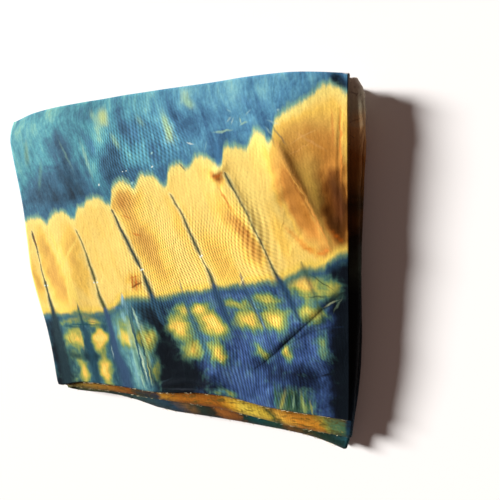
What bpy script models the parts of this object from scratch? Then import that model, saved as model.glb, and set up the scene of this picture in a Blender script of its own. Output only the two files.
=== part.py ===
"""A length of tie-dyed cotton, folded selvedge to selvedge and then back and forth into a bundle.

Metres, +Z up. X runs along the cloth's length, from the folds at the left to the cut end of the
top layer at the right. Y runs from the open selvedges at the front to the lengthwise fold at the
back. The origin is the middle of the bundle's footprint, on the surface that it lies on.
"""

import math
from collections import namedtuple

import bmesh
import bpy
from mathutils import Vector

# The bundle's driving dimensions
FACE_WIDTH = 0.317
FACE_DEPTH = 0.286
CLOTH_THICKNESS = 0.0010
TIGHT_GAP = 0.0005
LOOSE_GAP = 0.0009
MM = 0.001

LEFT, RIGHT = -FACE_WIDTH / 2, FACE_WIDTH / 2
FRONT, BACK = -FACE_DEPTH / 2, FACE_DEPTH / 2

# How open the plies lie at the face's four corners, as a share of LOOSE_GAP
LOFT_FRONT_LEFT = 0.1
LOFT_FRONT_RIGHT = 0.55
LOFT_BACK_LEFT = 0.5
LOFT_BACK_RIGHT = 1.0
EDGE_PRESS = 0.15
EDGE_REACH = 0.055

# The gaps vary in a slow swing over the face, which turns on from each ply to the next
GAP_SWING = 0.3
SWING_PER_PLY = 2.1
SWING_PER_METRE_X = 11.0
SWING_PER_METRE_Y = 8.0

# The bundle's outline in millimetres, at places from its left to its right: the top sheet's front
# edge, the front edges of the layers just under it and of the lowest ones, and the fold at the back
Outline = namedtuple("Outline", "x top_front strip_front base_front back")
OUTLINE = (
    Outline(x=-160, top_front=-143.5, strip_front=-152.5, base_front=-166.0, back=134.0),
    Outline(x=-120, top_front=-140.5, strip_front=-149.5, base_front=-159.5, back=140.0),
    Outline(x=-75, top_front=-140.0, strip_front=-149.0, base_front=-162.0, back=143.0),
    Outline(x=-35, top_front=-141.5, strip_front=-150.0, base_front=-170.5, back=144.5),
    Outline(x=10, top_front=-136.0, strip_front=-151.0, base_front=-171.5, back=145.5),
    Outline(x=40, top_front=-134.8, strip_front=-152.0, base_front=-173.0, back=146.0),
    Outline(x=75, top_front=-140.5, strip_front=-156.5, base_front=-175.0, back=146.7),
    Outline(x=110, top_front=-143.0, strip_front=-160.5, base_front=-176.5, back=146.5),
    Outline(x=135, top_front=-144.0, strip_front=-163.0, base_front=-181.0, back=144.5),
    Outline(x=158, top_front=-145.5, strip_front=-166.0, base_front=-192.0, back=141.0),
)

# Each layer is one pass of the doubled cloth, from the bottom to the top: where its front edge
# lies, from the top sheet's line (0) through the strip's (1) to the base's (2), and in millimetres
# how far its lengthwise fold is set in from the top layer's and how far its front edge sways.
# Near a fold both joined layers take the mean of their rows, so that their edges meet.
Layer = namedtuple("Layer", "front back_inset sway")
LAYERS = (
    Layer(front=2.0, back_inset=4.0, sway=0.5),
    Layer(front=1.9, back_inset=5.5, sway=0.9),
    Layer(front=1.68, back_inset=2.5, sway=1.0),
    Layer(front=1.78, back_inset=4.5, sway=1.0),
    Layer(front=0.86, back_inset=1.5, sway=0.7),
    Layer(front=1.0, back_inset=3.0, sway=0.4),
    Layer(front=0.0, back_inset=0.0, sway=0.0),
)
TOP_LAYER = len(LAYERS) - 1
PLIES = 2 * len(LAYERS)
MEETING_REACH = 0.035
SELVEDGE_STEP = 1.4 * MM
SWAY_LENGTH = 0.19
SWAY_PER_LAYER = 3.4

# Each fold joins a layer to the next one up, from the bottom. In millimetres: how far its crease
# lies outside the face's edge, how much it wanders along its length, and how far its back corner
# is drawn in.
Fold = namedtuple("Fold", "side outset wander corner")
FOLDS = (
    Fold(side=1, outset=4.5, wander=0.9, corner=6),
    Fold(side=-1, outset=-5.0, wander=1.2, corner=9),
    Fold(side=1, outset=6.4, wander=0.8, corner=5),
    Fold(side=-1, outset=-3.0, wander=1.0, corner=8),
    Fold(side=1, outset=4.8, wander=1.1, corner=6),
    Fold(side=-1, outset=0.0, wander=0.5, corner=9),
)
BOTTOM_END_INSET = 12 * MM
TOP_END_BOW = 1.5 * MM
WANDER_LENGTH = 0.16
WANDER_PER_FOLD = 2.3
FOLD_PLUMPNESS = 1.15
BACK_PLUMPNESS = 1.1
CORNER_REACH = 20 * MM
CORNER_POWER = 2.2

# The folds at the left swell out in the middle, and both ends' folds draw in towards the front
SWELL, SWELL_AT, SWELL_SPREAD = 5.5 * MM, -0.018, 0.045
Taper = namedtuple("Taper", "start length depth power")
RIGHT_TAPER = Taper(start=-0.060, length=0.133, depth=13 * MM, power=4.0)
LEFT_TAPER = Taper(start=FRONT, length=0.025, depth=9 * MM, power=1.5)

# Soft ridges on the top sheet, each along a line from (x0, y0) to (x1, y1) in millimetres
Ridge = namedtuple("Ridge", "x0 y0 x1 y1 height half_width")
RIDGES = (
    Ridge(x0=92, y0=104, x1=150, y1=14, height=3.2, half_width=9),
    Ridge(x0=52, y0=80, x1=92, y1=-6, height=2.0, half_width=10),
    Ridge(x0=64, y0=-96, x1=140, y1=-30, height=2.4, half_width=11),
    Ridge(x0=84, y0=-128, x1=148, y1=-72, height=2.6, half_width=12),
    Ridge(x0=30, y0=-134, x1=44, y1=-70, height=2.6, half_width=12),
    Ridge(x0=-44, y0=-132, x1=-52, y1=-60, height=2.0, half_width=14),
    Ridge(x0=-128, y0=-110, x1=-112, y1=20, height=1.4, half_width=20),
)
RIDGE_FADE = 0.2
SECOND_PLY_SHARE = 0.45

# Faces along the cloth and across it
TOP_LAYER_STEPS = 26
LAYER_STEPS = 7
FOLD_STEPS = 5
SIDE_STEPS = 12
BACK_STEPS = 4
END_CROWDING = 0.85
SETTLING_PASSES = 3

CLOTH_COLOUR = (0.055, 0.16, 0.27, 1.0)
CLOTH_ROUGHNESS = 0.55


def smooth(t):
    """An even step from 0 to 1, level at both ends."""
    t = min(max(t, 0.0), 1.0)
    return t * t * (3.0 - 2.0 * t)


def mix(a, b, t):
    """The value a share t of the way from a to b."""
    return a + (b - a) * t


def crowded(steps):
    """Shares from 0 to 1 that stand closer together near both ends."""
    even = [i / steps for i in range(steps + 1)]
    return [mix(t, (1.0 - math.cos(math.pi * t)) / 2.0, END_CROWDING) for t in even]


def across(x):
    """How far x is from the face's left edge to its right edge, from 0 to 1."""
    return min(max((x - LEFT) / FACE_WIDTH, 0.0), 1.0)


def loft(x, y):
    """How open the plies lie at a place, from 0 where they are pressed together."""
    along = min(max((y - FRONT) / FACE_DEPTH, 0.0), 1.0)
    front = mix(LOFT_FRONT_LEFT, LOFT_FRONT_RIGHT, across(x))
    back = mix(LOFT_BACK_LEFT, LOFT_BACK_RIGHT, across(x))
    nearest_end = min(x - LEFT, RIGHT - x)
    nearest_side = min(y - FRONT, BACK - y)
    pressed = 2.0 - smooth(nearest_end / EDGE_REACH) - smooth(nearest_side / EDGE_REACH)
    return max(mix(front, back, along) - EDGE_PRESS * pressed, 0.0)


def gap(ply, x, y):
    """The free height between a ply and the next one up."""
    phase = SWING_PER_PLY * ply + SWING_PER_METRE_X * x + SWING_PER_METRE_Y * y
    return TIGHT_GAP + LOOSE_GAP * loft(x, y) * (1.0 + GAP_SWING * math.sin(phase))


def ridge_height(x, y):
    """How far the soft ridges lift the top sheet."""
    height = 0.0
    for ridge in RIDGES:
        start = Vector((ridge.x0, ridge.y0)) * MM
        run = Vector((ridge.x1, ridge.y1)) * MM - start
        place = Vector((x, y)) - start
        share = place.dot(run) / run.length_squared
        aside = abs(place.cross(run)) / run.length / (ridge.half_width * MM)
        start_share = (share + RIDGE_FADE) / (2.0 * RIDGE_FADE)
        end_share = (1.0 + RIDGE_FADE - share) / (2.0 * RIDGE_FADE)
        ends = smooth(start_share) * smooth(end_share)
        height += ridge.height * MM * ends * math.exp(-aside * aside)
    return height


def ply_height(ply, x, y):
    """The height of the middle of a ply's cloth above the surface, ply 0 being the lowest."""
    height = CLOTH_THICKNESS / 2.0
    for below in range(ply):
        height += CLOTH_THICKNESS + gap(below, x, y)
    if ply >= PLIES - 2:
        share = 1.0 if ply == PLIES - 1 else SECOND_PLY_SHARE
        height += share * ridge_height(x, y)
    return height


def outline(column, x):
    """A column of OUTLINE at a place between its rows, drawn as a smooth curve, in metres."""
    places = [row.x * MM for row in OUTLINE]
    values = [getattr(row, column) * MM for row in OUTLINE]
    after = min(max(sum(1 for place in places if place <= x), 1), len(places) - 1)
    before = after - 1
    span = places[after] - places[before]
    t = min(max((x - places[before]) / span, 0.0), 1.0)
    slopes = []
    for i in (before, after):
        low, high = max(i - 1, 0), min(i + 1, len(places) - 1)
        slopes.append((values[high] - values[low]) / (places[high] - places[low]) * span)
    rise = values[after] - values[before]
    bend = (slopes[0] - rise) * (1.0 - t) - (slopes[1] - rise) * t
    return values[before] + rise * t + bend * t * (1.0 - t)


def meeting(layer, x):
    """How near a place is to the fold below a layer and to the one above it, each from 0 to 1."""
    found = []
    for fold in (layer - 1, layer):
        nearness = 0.0
        if 0 <= fold < len(FOLDS):
            distance = RIGHT - x if FOLDS[fold].side > 0 else x - LEFT
            nearness = 1.0 - smooth(distance / MEETING_REACH)
        found.append(nearness)
    return found


def settled(column, layer, x):
    """A column of LAYERS at a place, evened out with the joined layers near the folds."""
    own = getattr(LAYERS[layer], column)
    value = own
    for neighbour, nearness in zip((layer - 1, layer + 1), meeting(layer, x)):
        if nearness > 0.0:
            value += nearness * (getattr(LAYERS[neighbour], column) - own) / 2.0
    return value


def back_line(layer, x):
    """Where a layer's lengthwise fold begins."""
    return outline("back", x) - settled("back_inset", layer, x) * MM


def front_line(layer, side, x):
    """Where a selvedge lies in a layer."""
    level = settled("front", layer, x)
    top, strip = outline("top_front", x), outline("strip_front", x)
    line = mix(top, strip, level)
    if level > 1.0:
        line = mix(strip, outline("base_front", x), level - 1.0)
    sway = LAYERS[layer].sway * MM * (1.0 - max(meeting(layer, x)))
    phase = math.tau * x / SWAY_LENGTH + SWAY_PER_LAYER * layer + side
    return line - side * SELVEDGE_STEP + sway * math.sin(phase)


def crease_line(fold, x, y):
    """Where a fold's plies stop lying flat and begin to turn, as an x, near the place (x, y)."""
    row = FOLDS[fold]
    wander = row.wander * MM * math.sin(math.tau * y / WANDER_LENGTH + WANDER_PER_FOLD * fold)
    into_corner = (y - outline("back", x) + CORNER_REACH) / CORNER_REACH
    drawn_in = row.corner * MM * max(into_corner, 0.0) ** CORNER_POWER
    taper = RIGHT_TAPER if row.side > 0 else LEFT_TAPER
    drawn_in += taper.depth * max((taper.start - y) / taper.length, 0.0) ** taper.power
    if row.side > 0:
        return RIGHT + row.outset * MM + wander - drawn_in
    swell = SWELL * math.exp(-(((y - SWELL_AT) / SWELL_SPREAD) ** 2))
    return LEFT - row.outset * MM + wander - swell + drawn_in


def layer_span(layer, x, y):
    """A layer's x where it starts and where it ends, in the order in which the cloth runs."""
    start = crease_line(layer - 1, x, y) if layer > 0 else LEFT + BOTTOM_END_INSET
    top_end = RIGHT + TOP_END_BOW * math.cos(math.pi * (y - FRONT) / FACE_DEPTH) - TOP_END_BOW / 2
    end = crease_line(layer, x, y) if layer < TOP_LAYER else top_end
    return start, end


def side_ply(layer, side):
    """The ply that a side of the doubled cloth makes in a layer. Side 0 is on top in even layers."""
    return 2 * layer + (1 if (layer + side) % 2 == 0 else 0)


def flat_point(layer, side, share, across_share):
    """A point on a layer's upper or lower ply."""
    ply = side_ply(layer, side)
    x, y = 0.0, mix(FRONT, BACK, across_share)
    for _ in range(SETTLING_PASSES):
        start, end = layer_span(layer, x, y)
        x = mix(start, end, share)
        y = mix(front_line(layer, side, x), back_line(layer, x), across_share)
    return Vector((x, y, ply_height(ply, x, y)))


def fold_point(fold, side, share, across_share):
    """A point where one side of the doubled cloth turns round into the next layer up."""
    low = flat_point(fold, side, 1.0, across_share)
    high = flat_point(fold + 1, side, 0.0, across_share)
    middle, radius = (low + high) / 2.0, (high - low) / 2.0
    angle = math.pi * share
    outward = FOLDS[fold].side * radius.z * FOLD_PLUMPNESS * math.sin(angle)
    return middle - radius * math.cos(angle) + Vector((outward, 0.0, 0.0))


def stations():
    """The places along the cloth, from its lower end to its upper end, as (function, index, share)."""
    found = []
    for layer in range(len(LAYERS)):
        steps = TOP_LAYER_STEPS if layer == TOP_LAYER else LAYER_STEPS
        shares = crowded(steps)
        found += [(flat_point, layer, share) for share in shares]
        if layer < TOP_LAYER:
            turning = [step / FOLD_STEPS for step in range(1, FOLD_STEPS)]
            found += [(fold_point, layer, share) for share in turning]
    return found


def cross_section(place, index, share):
    """The cloth's points at one station, from one selvedge round the back to the other."""
    first, second = [[place(index, side, share, t) for t in crowded(SIDE_STEPS)] for side in (0, 1)]
    middle, radius = (first[-1] + second[-1]) / 2.0, (first[-1] - second[-1]) / 2.0
    turn = []
    for step in range(1, BACK_STEPS):
        angle = math.pi * step / BACK_STEPS
        outward = radius.length * BACK_PLUMPNESS * math.sin(angle)
        turn.append(middle + radius * math.cos(angle) + Vector((0.0, outward, 0.0)))
    return first + turn + second[::-1]


def folded_cloth():
    """The cloth as a flat grid whose rows are then laid in their folded places."""
    rows = [cross_section(*station) for station in stations()]
    along, over = len(rows) - 1, len(rows[0]) - 1
    mesh = bmesh.new()
    bmesh.ops.create_grid(mesh, x_segments=along, y_segments=over, size=0.5)
    for vertex in mesh.verts:
        station = round((vertex.co.x + 0.5) * along)
        place = round((vertex.co.y + 0.5) * over)
        vertex.co = rows[station][place]
    bmesh.ops.recalc_face_normals(mesh, faces=mesh.faces[:])
    data = bpy.data.meshes.new("cloth")
    mesh.to_mesh(data)
    mesh.free()
    return data


def dyed_cotton():
    """The cloth's material, in the deep blue that covers most of it."""
    material = bpy.data.materials.new("dyed_cotton")
    material.use_nodes = True
    shader = material.node_tree.nodes["Principled BSDF"]
    shader.inputs["Base Color"].default_value = CLOTH_COLOUR
    shader.inputs["Roughness"].default_value = CLOTH_ROUGHNESS
    shader.inputs["Metallic"].default_value = 0.0
    return material


def stand_at_origin(item):
    """Moves an object so that the middle of its box's underside is the origin."""
    bpy.context.view_layer.update()
    evaluated = item.evaluated_get(bpy.context.evaluated_depsgraph_get())
    low = Vector(map(min, *evaluated.bound_box))
    high = Vector(map(max, *evaluated.bound_box))
    item.location = (-(low.x + high.x) / 2.0, -(low.y + high.y) / 2.0, -low.z)


def main():
    """Builds the folded cloth in a collection of its own."""
    for item in list(bpy.data.objects):
        bpy.data.objects.remove(item)
    collection = bpy.data.collections.new("kampala_cloth")
    bpy.context.scene.collection.children.link(collection)
    cloth = bpy.data.objects.new("cloth", folded_cloth())
    cloth.data.materials.append(dyed_cotton())
    collection.objects.link(cloth)
    shell = cloth.modifiers.new("thickness", "SOLIDIFY")
    shell.thickness = CLOTH_THICKNESS
    shell.offset = 0.0
    shell.use_even_offset = True
    cloth.data.shade_smooth()
    stand_at_origin(cloth)


main()
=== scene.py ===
"""A length of tie-dyed cotton, folded selvedge to selvedge and then back and forth into a bundle.

Metres, +Z up. X runs along the cloth's length, from the folds at the left to the cut end of the
top layer at the right. Y runs from the open selvedges at the front to the lengthwise fold at the
back. The shapes are worked out about the middle of the top face, and then moved to the frame.
"""

import logging
import math
from collections.abc import Sequence
from dataclasses import dataclass, field
from enum import Enum
from typing import NamedTuple

import bpy
import numpy as np
from mathutils import Matrix, Vector

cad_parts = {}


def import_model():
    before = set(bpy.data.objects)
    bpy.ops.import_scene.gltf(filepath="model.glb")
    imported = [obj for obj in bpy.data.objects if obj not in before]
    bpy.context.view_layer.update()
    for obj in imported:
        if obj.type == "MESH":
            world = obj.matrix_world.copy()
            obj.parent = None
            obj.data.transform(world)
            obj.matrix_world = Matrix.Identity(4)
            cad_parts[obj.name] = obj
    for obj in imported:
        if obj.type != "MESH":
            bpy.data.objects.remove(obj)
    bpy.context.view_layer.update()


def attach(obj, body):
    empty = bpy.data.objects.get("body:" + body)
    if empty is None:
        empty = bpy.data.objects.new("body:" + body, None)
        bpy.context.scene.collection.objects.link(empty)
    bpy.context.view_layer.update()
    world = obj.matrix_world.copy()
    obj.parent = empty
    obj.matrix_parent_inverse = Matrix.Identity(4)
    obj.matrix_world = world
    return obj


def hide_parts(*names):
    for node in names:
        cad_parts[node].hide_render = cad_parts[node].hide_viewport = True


LOG = logging.getLogger("folded_cloth")
MM = 0.001
FACE_TO_FRAME = Vector((-0.0012, 0.02014, 0.0))

Array = np.ndarray


def smooth(share: Array) -> Array:
    """An even step from 0 to 1, level at both ends."""
    held = np.clip(share, 0.0, 1.0)
    return held * held * (3.0 - 2.0 * held)


def mix(low: Array, high: Array, share: Array) -> Array:
    """The value a share of the way from low to high."""
    return low + (high - low) * share


def crowded(steps: int, crowding: float) -> Array:
    """Shares from 0 to 1 that stand closer together near both ends.

    Args:
        steps: how many spaces there are between the shares.
        crowding: 0 for even spaces, 1 for those of a half turn seen from its side.

    Returns:
        The steps + 1 shares.
    """
    even = np.linspace(0.0, 1.0, steps + 1)
    return mix(even, (1.0 - np.cos(np.pi * even)) / 2.0, crowding)


def keep(mesh: bpy.types.Mesh, name: str, values: Array, form: str = "FLOAT") -> None:
    """Keeps values on a mesh as an attribute of its points.

    Args:
        mesh: the mesh.
        name: the attribute's name.
        values: a number or a vector for each point.
        form: the attribute's type.
    """
    field_name = "value" if form == "FLOAT" else "vector"
    data = mesh.attributes.new(name, form, "POINT").data
    data.foreach_set(field_name, np.asarray(values, np.float32).ravel())


@dataclass(frozen=True)
class OutlineRow:
    """The bundle's outline at one place along its width, in millimetres."""

    x: float
    top_front: float
    strip_front: float
    base_front: float
    back: float


@dataclass(frozen=True)
class Layer:
    """One pass of the doubled cloth: its front line's level, back inset and sway in millimetres."""

    front: float
    back_inset: float
    sway: float


@dataclass(frozen=True)
class Fold:
    """A turn into the next layer up: which side it is on and, in millimetres, how it lies."""

    side: int
    outset: float
    wander: float
    corner: float


@dataclass(frozen=True)
class Taper:
    """How a side's folds draw in towards the front."""

    start: float
    length: float
    depth: float
    power: float


@dataclass(frozen=True)
class Ridge:
    """A soft ridge on the top sheet from (x0, y0) to (x1, y1), in millimetres."""

    x0: float
    y0: float
    x1: float
    y1: float
    height: float
    half_width: float
    fade: float = 0.2

    def lift(self, x: Array, y: Array) -> Array:
        """How far the ridge lifts the sheet.

        Args:
            x: places along the cloth, in metres.
            y: places across the cloth, in metres.

        Returns:
            The lift in metres, below zero for a trough.
        """
        run_x, run_y = (self.x1 - self.x0) * MM, (self.y1 - self.y0) * MM
        length = math.hypot(run_x, run_y)
        from_x, from_y = x - self.x0 * MM, y - self.y0 * MM
        share = (from_x * run_x + from_y * run_y) / length**2
        aside = (from_x * run_y - from_y * run_x) / length / (self.half_width * MM)
        ends = smooth((share + self.fade) / (2 * self.fade))
        ends = ends * smooth((1.0 + self.fade - share) / (2 * self.fade))
        return self.height * MM * ends * np.exp(-(aside**2))


@dataclass
class BundleShape:
    """Where each place of the folded cloth lies, with the same folds as the solid has."""

    width: float = 0.317
    depth: float = 0.286
    ply_thickness: float = 1.0 * MM
    tight_gap: float = 0.5 * MM
    loose_gap: float = 0.9 * MM
    loft_front: tuple[float, float] = (0.1, 0.55)
    loft_back: tuple[float, float] = (0.5, 1.0)
    edge_press: float = 0.15
    edge_reach: float = 0.055
    gap_swing: float = 0.3
    swing_per_ply: float = 2.1
    swing_per_metre: tuple[float, float] = (11.0, 8.0)
    outline_rows: tuple[OutlineRow, ...] = (
        OutlineRow(-160, -143.5, -152.5, -166.0, 134.0),
        OutlineRow(-120, -140.5, -149.5, -159.5, 140.0),
        OutlineRow(-75, -140.0, -149.0, -162.0, 143.0),
        OutlineRow(-35, -141.5, -150.0, -170.5, 144.5),
        OutlineRow(10, -136.0, -151.0, -171.5, 145.5),
        OutlineRow(40, -134.8, -152.0, -173.0, 146.0),
        OutlineRow(75, -140.5, -156.5, -175.0, 146.7),
        OutlineRow(110, -143.0, -160.5, -176.5, 146.5),
        OutlineRow(135, -144.0, -163.0, -181.0, 144.5),
        OutlineRow(158, -145.5, -166.0, -192.0, 141.0),
    )
    layers: tuple[Layer, ...] = (
        Layer(2.0, 4.0, 0.5),
        Layer(1.9, 5.5, 0.9),
        Layer(1.68, 2.5, 1.0),
        Layer(1.78, 4.5, 1.0),
        Layer(0.86, 1.5, 0.7),
        Layer(1.0, 3.0, 0.4),
        Layer(0.0, 0.0, 0.0),
    )
    folds: tuple[Fold, ...] = (
        Fold(1, 4.5, 0.9, 6),
        Fold(-1, -5.0, 1.2, 9),
        Fold(1, 6.4, 0.8, 5),
        Fold(-1, -3.0, 1.0, 8),
        Fold(1, 4.8, 1.1, 6),
        Fold(-1, 0.0, 0.5, 9),
    )
    meeting_reach: float = 0.035
    selvedge_step: float = 1.4 * MM
    sway_length: float = 0.19
    sway_per_layer: float = 3.4
    bottom_end_inset: float = 12 * MM
    top_end_bow: float = 1.5 * MM
    wander_length: float = 0.16
    wander_per_fold: float = 2.3
    fold_plumpness: float = 1.15
    back_plumpness: float = 1.1
    corner_reach: float = 20 * MM
    corner_power: float = 2.2
    swell: float = 5.5 * MM
    swell_at: float = -0.018
    swell_spread: float = 0.045
    right_taper: Taper = Taper(-0.060, 0.133, 13 * MM, 4.0)
    left_taper: Taper = Taper(-0.143, 0.025, 9 * MM, 1.5)
    ridges: tuple[Ridge, ...] = (
        Ridge(92, 104, 150, 14, 3.2, 9),
        Ridge(52, 80, 92, -6, 2.0, 10),
        Ridge(64, -96, 140, -30, 2.4, 11),
        Ridge(84, -128, 148, -72, 2.6, 12),
        Ridge(30, -134, 44, -70, 2.6, 12),
        Ridge(-44, -132, -52, -60, 2.0, 14),
        Ridge(-128, -110, -112, 20, 1.4, 20),
    )
    second_ply_share: float = 0.45
    settling_passes: int = 3

    @property
    def left(self) -> float:
        """The top face's left edge."""
        return -self.width / 2

    @property
    def right(self) -> float:
        """The top face's right edge."""
        return self.width / 2

    @property
    def front(self) -> float:
        """The top face's front edge, before its outline is drawn."""
        return -self.depth / 2

    @property
    def top_layer(self) -> int:
        """The index of the top layer."""
        return len(self.layers) - 1

    @property
    def top_ply(self) -> int:
        """The index of the top ply."""
        return 2 * len(self.layers) - 1

    def loft(self, x: Array, y: Array) -> Array:
        """How open the plies lie at a place, from 0 where they are pressed together.

        Args:
            x: how far along it is, in metres.
            y: how far across it is, in metres.

        Returns:
            The openness there, about 1 at most.
        """
        over = np.clip((x - self.left) / self.width, 0.0, 1.0)
        along = np.clip((y - self.front) / self.depth, 0.0, 1.0)
        front, back = mix(*self.loft_front, over), mix(*self.loft_back, over)
        nearest_end = np.minimum(x - self.left, self.right - x)
        nearest_side = np.minimum(y - self.front, -self.front - y)
        pressed = 2.0 - smooth(nearest_end / self.edge_reach)
        pressed = pressed - smooth(nearest_side / self.edge_reach)
        return np.maximum(mix(front, back, along) - self.edge_press * pressed, 0.0)

    def gap(self, ply: int, x: Array, y: Array) -> Array:
        """The free height between a ply and the next one up.

        Args:
            ply: the ply, from the bottom.
            x: how far along it is, in metres.
            y: how far across it is, in metres.

        Returns:
            The height, in metres.
        """
        per_x, per_y = self.swing_per_metre
        phase = self.swing_per_ply * ply + per_x * x + per_y * y
        swung = 1.0 + self.gap_swing * np.sin(phase)
        return self.tight_gap + self.loose_gap * self.loft(x, y) * swung

    def ply_height(self, ply: int, x: Array, y: Array) -> Array:
        """The height of the middle of a ply's cloth above the surface, ply 0 being the lowest.

        Args:
            ply: the ply, from the bottom.
            x: how far along it is, in metres.
            y: how far across it is, in metres.

        Returns:
            The height, in metres.
        """
        height = self.ply_thickness / 2.0 + 0.0 * x
        for below in range(ply):
            height = height + self.ply_thickness + self.gap(below, x, y)
        if ply >= self.top_ply - 1:
            share = 1.0 if ply == self.top_ply else self.second_ply_share
            height = height + share * sum(ridge.lift(x, y) for ridge in self.ridges)
        return height

    def outline(self, column: str, x: Array) -> Array:
        """A column of the outline rows at places between them, drawn as a smooth curve.

        Args:
            column: the column's name.
            x: how far along it is, in metres.

        Returns:
            The column's value there, in metres.
        """
        places = np.array([row.x for row in self.outline_rows]) * MM
        values = np.array([getattr(row, column) for row in self.outline_rows]) * MM
        last = len(places) - 1
        after = np.clip(np.searchsorted(places, x, side="right"), 1, last)
        before = after - 1
        span = places[after] - places[before]
        t = np.clip((x - places[before]) / span, 0.0, 1.0)
        slopes = []
        for index in (before, after):
            low, high = np.maximum(index - 1, 0), np.minimum(index + 1, last)
            slopes.append((values[high] - values[low]) / (places[high] - places[low]) * span)
        rise = values[after] - values[before]
        bend = (slopes[0] - rise) * (1.0 - t) - (slopes[1] - rise) * t
        return values[before] + rise * t + bend * t * (1.0 - t)

    def meeting(self, layer: int, x: Array) -> tuple[Array, Array]:
        """How near a place is to the fold below a layer and to the one above it.

        Args:
            layer: the layer, from the bottom.
            x: how far along it is, in metres.

        Returns:
            The two nearnesses, from 0 to 1 at the fold.
        """
        found = []
        for fold in (layer - 1, layer):
            nearness = 0.0 * x
            if 0 <= fold < len(self.folds):
                away = self.right - x if self.folds[fold].side > 0 else x - self.left
                nearness = 1.0 - smooth(away / self.meeting_reach)
            found.append(nearness)
        return found[0], found[1]

    def settled(self, column: str, layer: int, x: Array) -> Array:
        """A column of the layers at a place, evened out with the joined layers near the folds.

        Args:
            column: the column's name.
            layer: the layer, from the bottom.
            x: how far along it is, in metres.

        Returns:
            The column's value there.
        """
        own = getattr(self.layers[layer], column)
        value = own + 0.0 * x
        for neighbour, nearness in zip((layer - 1, layer + 1), self.meeting(layer, x)):
            if 0 <= neighbour < len(self.layers):
                step = getattr(self.layers[neighbour], column) - own
                value = value + nearness * step / 2.0
        return value

    def back_line(self, layer: int, x: Array) -> Array:
        """Where a layer's lengthwise fold begins."""
        return self.outline("back", x) - self.settled("back_inset", layer, x) * MM

    def front_line(self, layer: int, side: int, x: Array) -> Array:
        """Where a selvedge lies in a layer.

        Args:
            layer: the layer, from the bottom.
            side: 0 or 1, the half of the doubled cloth.
            x: how far along it is, in metres.

        Returns:
            The selvedge's y, in metres.
        """
        level = self.settled("front", layer, x)
        top, strip = self.outline("top_front", x), self.outline("strip_front", x)
        base = self.outline("base_front", x)
        line = np.where(level > 1.0, mix(strip, base, level - 1.0), mix(top, strip, level))
        below, above = self.meeting(layer, x)
        sway = self.layers[layer].sway * MM * (1.0 - np.maximum(below, above))
        phase = math.tau * x / self.sway_length + self.sway_per_layer * layer + side
        return line - side * self.selvedge_step + sway * np.sin(phase)

    def crease_line(self, fold: int, x: Array, y: Array) -> Array:
        """Where a fold's plies stop lying flat and begin to turn, near the place (x, y).

        Args:
            fold: the fold, from the bottom.
            x: how far along it is, in metres.
            y: how far across it is, in metres.

        Returns:
            The line's x, in metres.
        """
        row = self.folds[fold]
        turn = math.tau * y / self.wander_length + self.wander_per_fold * fold
        wander = row.wander * MM * np.sin(turn)
        into_corner = (y - self.outline("back", x) + self.corner_reach) / self.corner_reach
        drawn_in = row.corner * MM * np.maximum(into_corner, 0.0) ** self.corner_power
        taper = self.right_taper if row.side > 0 else self.left_taper
        reach = np.maximum((taper.start - y) / taper.length, 0.0)
        drawn_in = drawn_in + taper.depth * reach**taper.power
        if row.side > 0:
            return self.right + row.outset * MM + wander - drawn_in
        swell = self.swell * np.exp(-(((y - self.swell_at) / self.swell_spread) ** 2))
        return self.left - row.outset * MM + wander - swell + drawn_in

    def layer_span(self, layer: int, x: Array, y: Array) -> tuple[Array, Array]:
        """A layer's x where it starts and where it ends, in the order in which the cloth runs.

        Args:
            layer: the layer, from the bottom.
            x: how far along it is, in metres.
            y: how far across it is, in metres.

        Returns:
            The two ends' x, in metres.
        """
        start = self.left + self.bottom_end_inset + 0.0 * x
        if layer > 0:
            start = self.crease_line(layer - 1, x, y)
        if layer < self.top_layer:
            return start, self.crease_line(layer, x, y)
        bow = np.cos(np.pi * (y - self.front) / self.depth) - 0.5
        return start, self.right + self.top_end_bow * bow

    def side_ply(self, layer: int, side: int) -> int:
        """The ply that a side of the doubled cloth makes in a layer."""
        return 2 * layer + (1 if (layer + side) % 2 == 0 else 0)

    def flat_place(self, layer: int, side: int, share: Array, over: Array) -> tuple[Array, Array]:
        """Where a place on a layer lies in plan.

        Args:
            layer: the layer, from the bottom.
            side: 0 or 1, the half of the doubled cloth.
            share: how far along the layer, from 0 to 1.
            over: how far from the selvedge to the lengthwise fold, from 0 to 1.

        Returns:
            The places' x and y, in metres.
        """
        x = 0.0 * (share + over)
        y = mix(self.front, -self.front, over) + x
        for _ in range(self.settling_passes):
            start, end = self.layer_span(layer, x, y)
            x = mix(start, end, share)
            y = mix(self.front_line(layer, side, x), self.back_line(layer, x), over)
        return x, y


class Profile(Enum):
    """What a crease looks like cut across."""

    VALLEY = "valley"
    RIDGE = "ridge"


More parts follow.
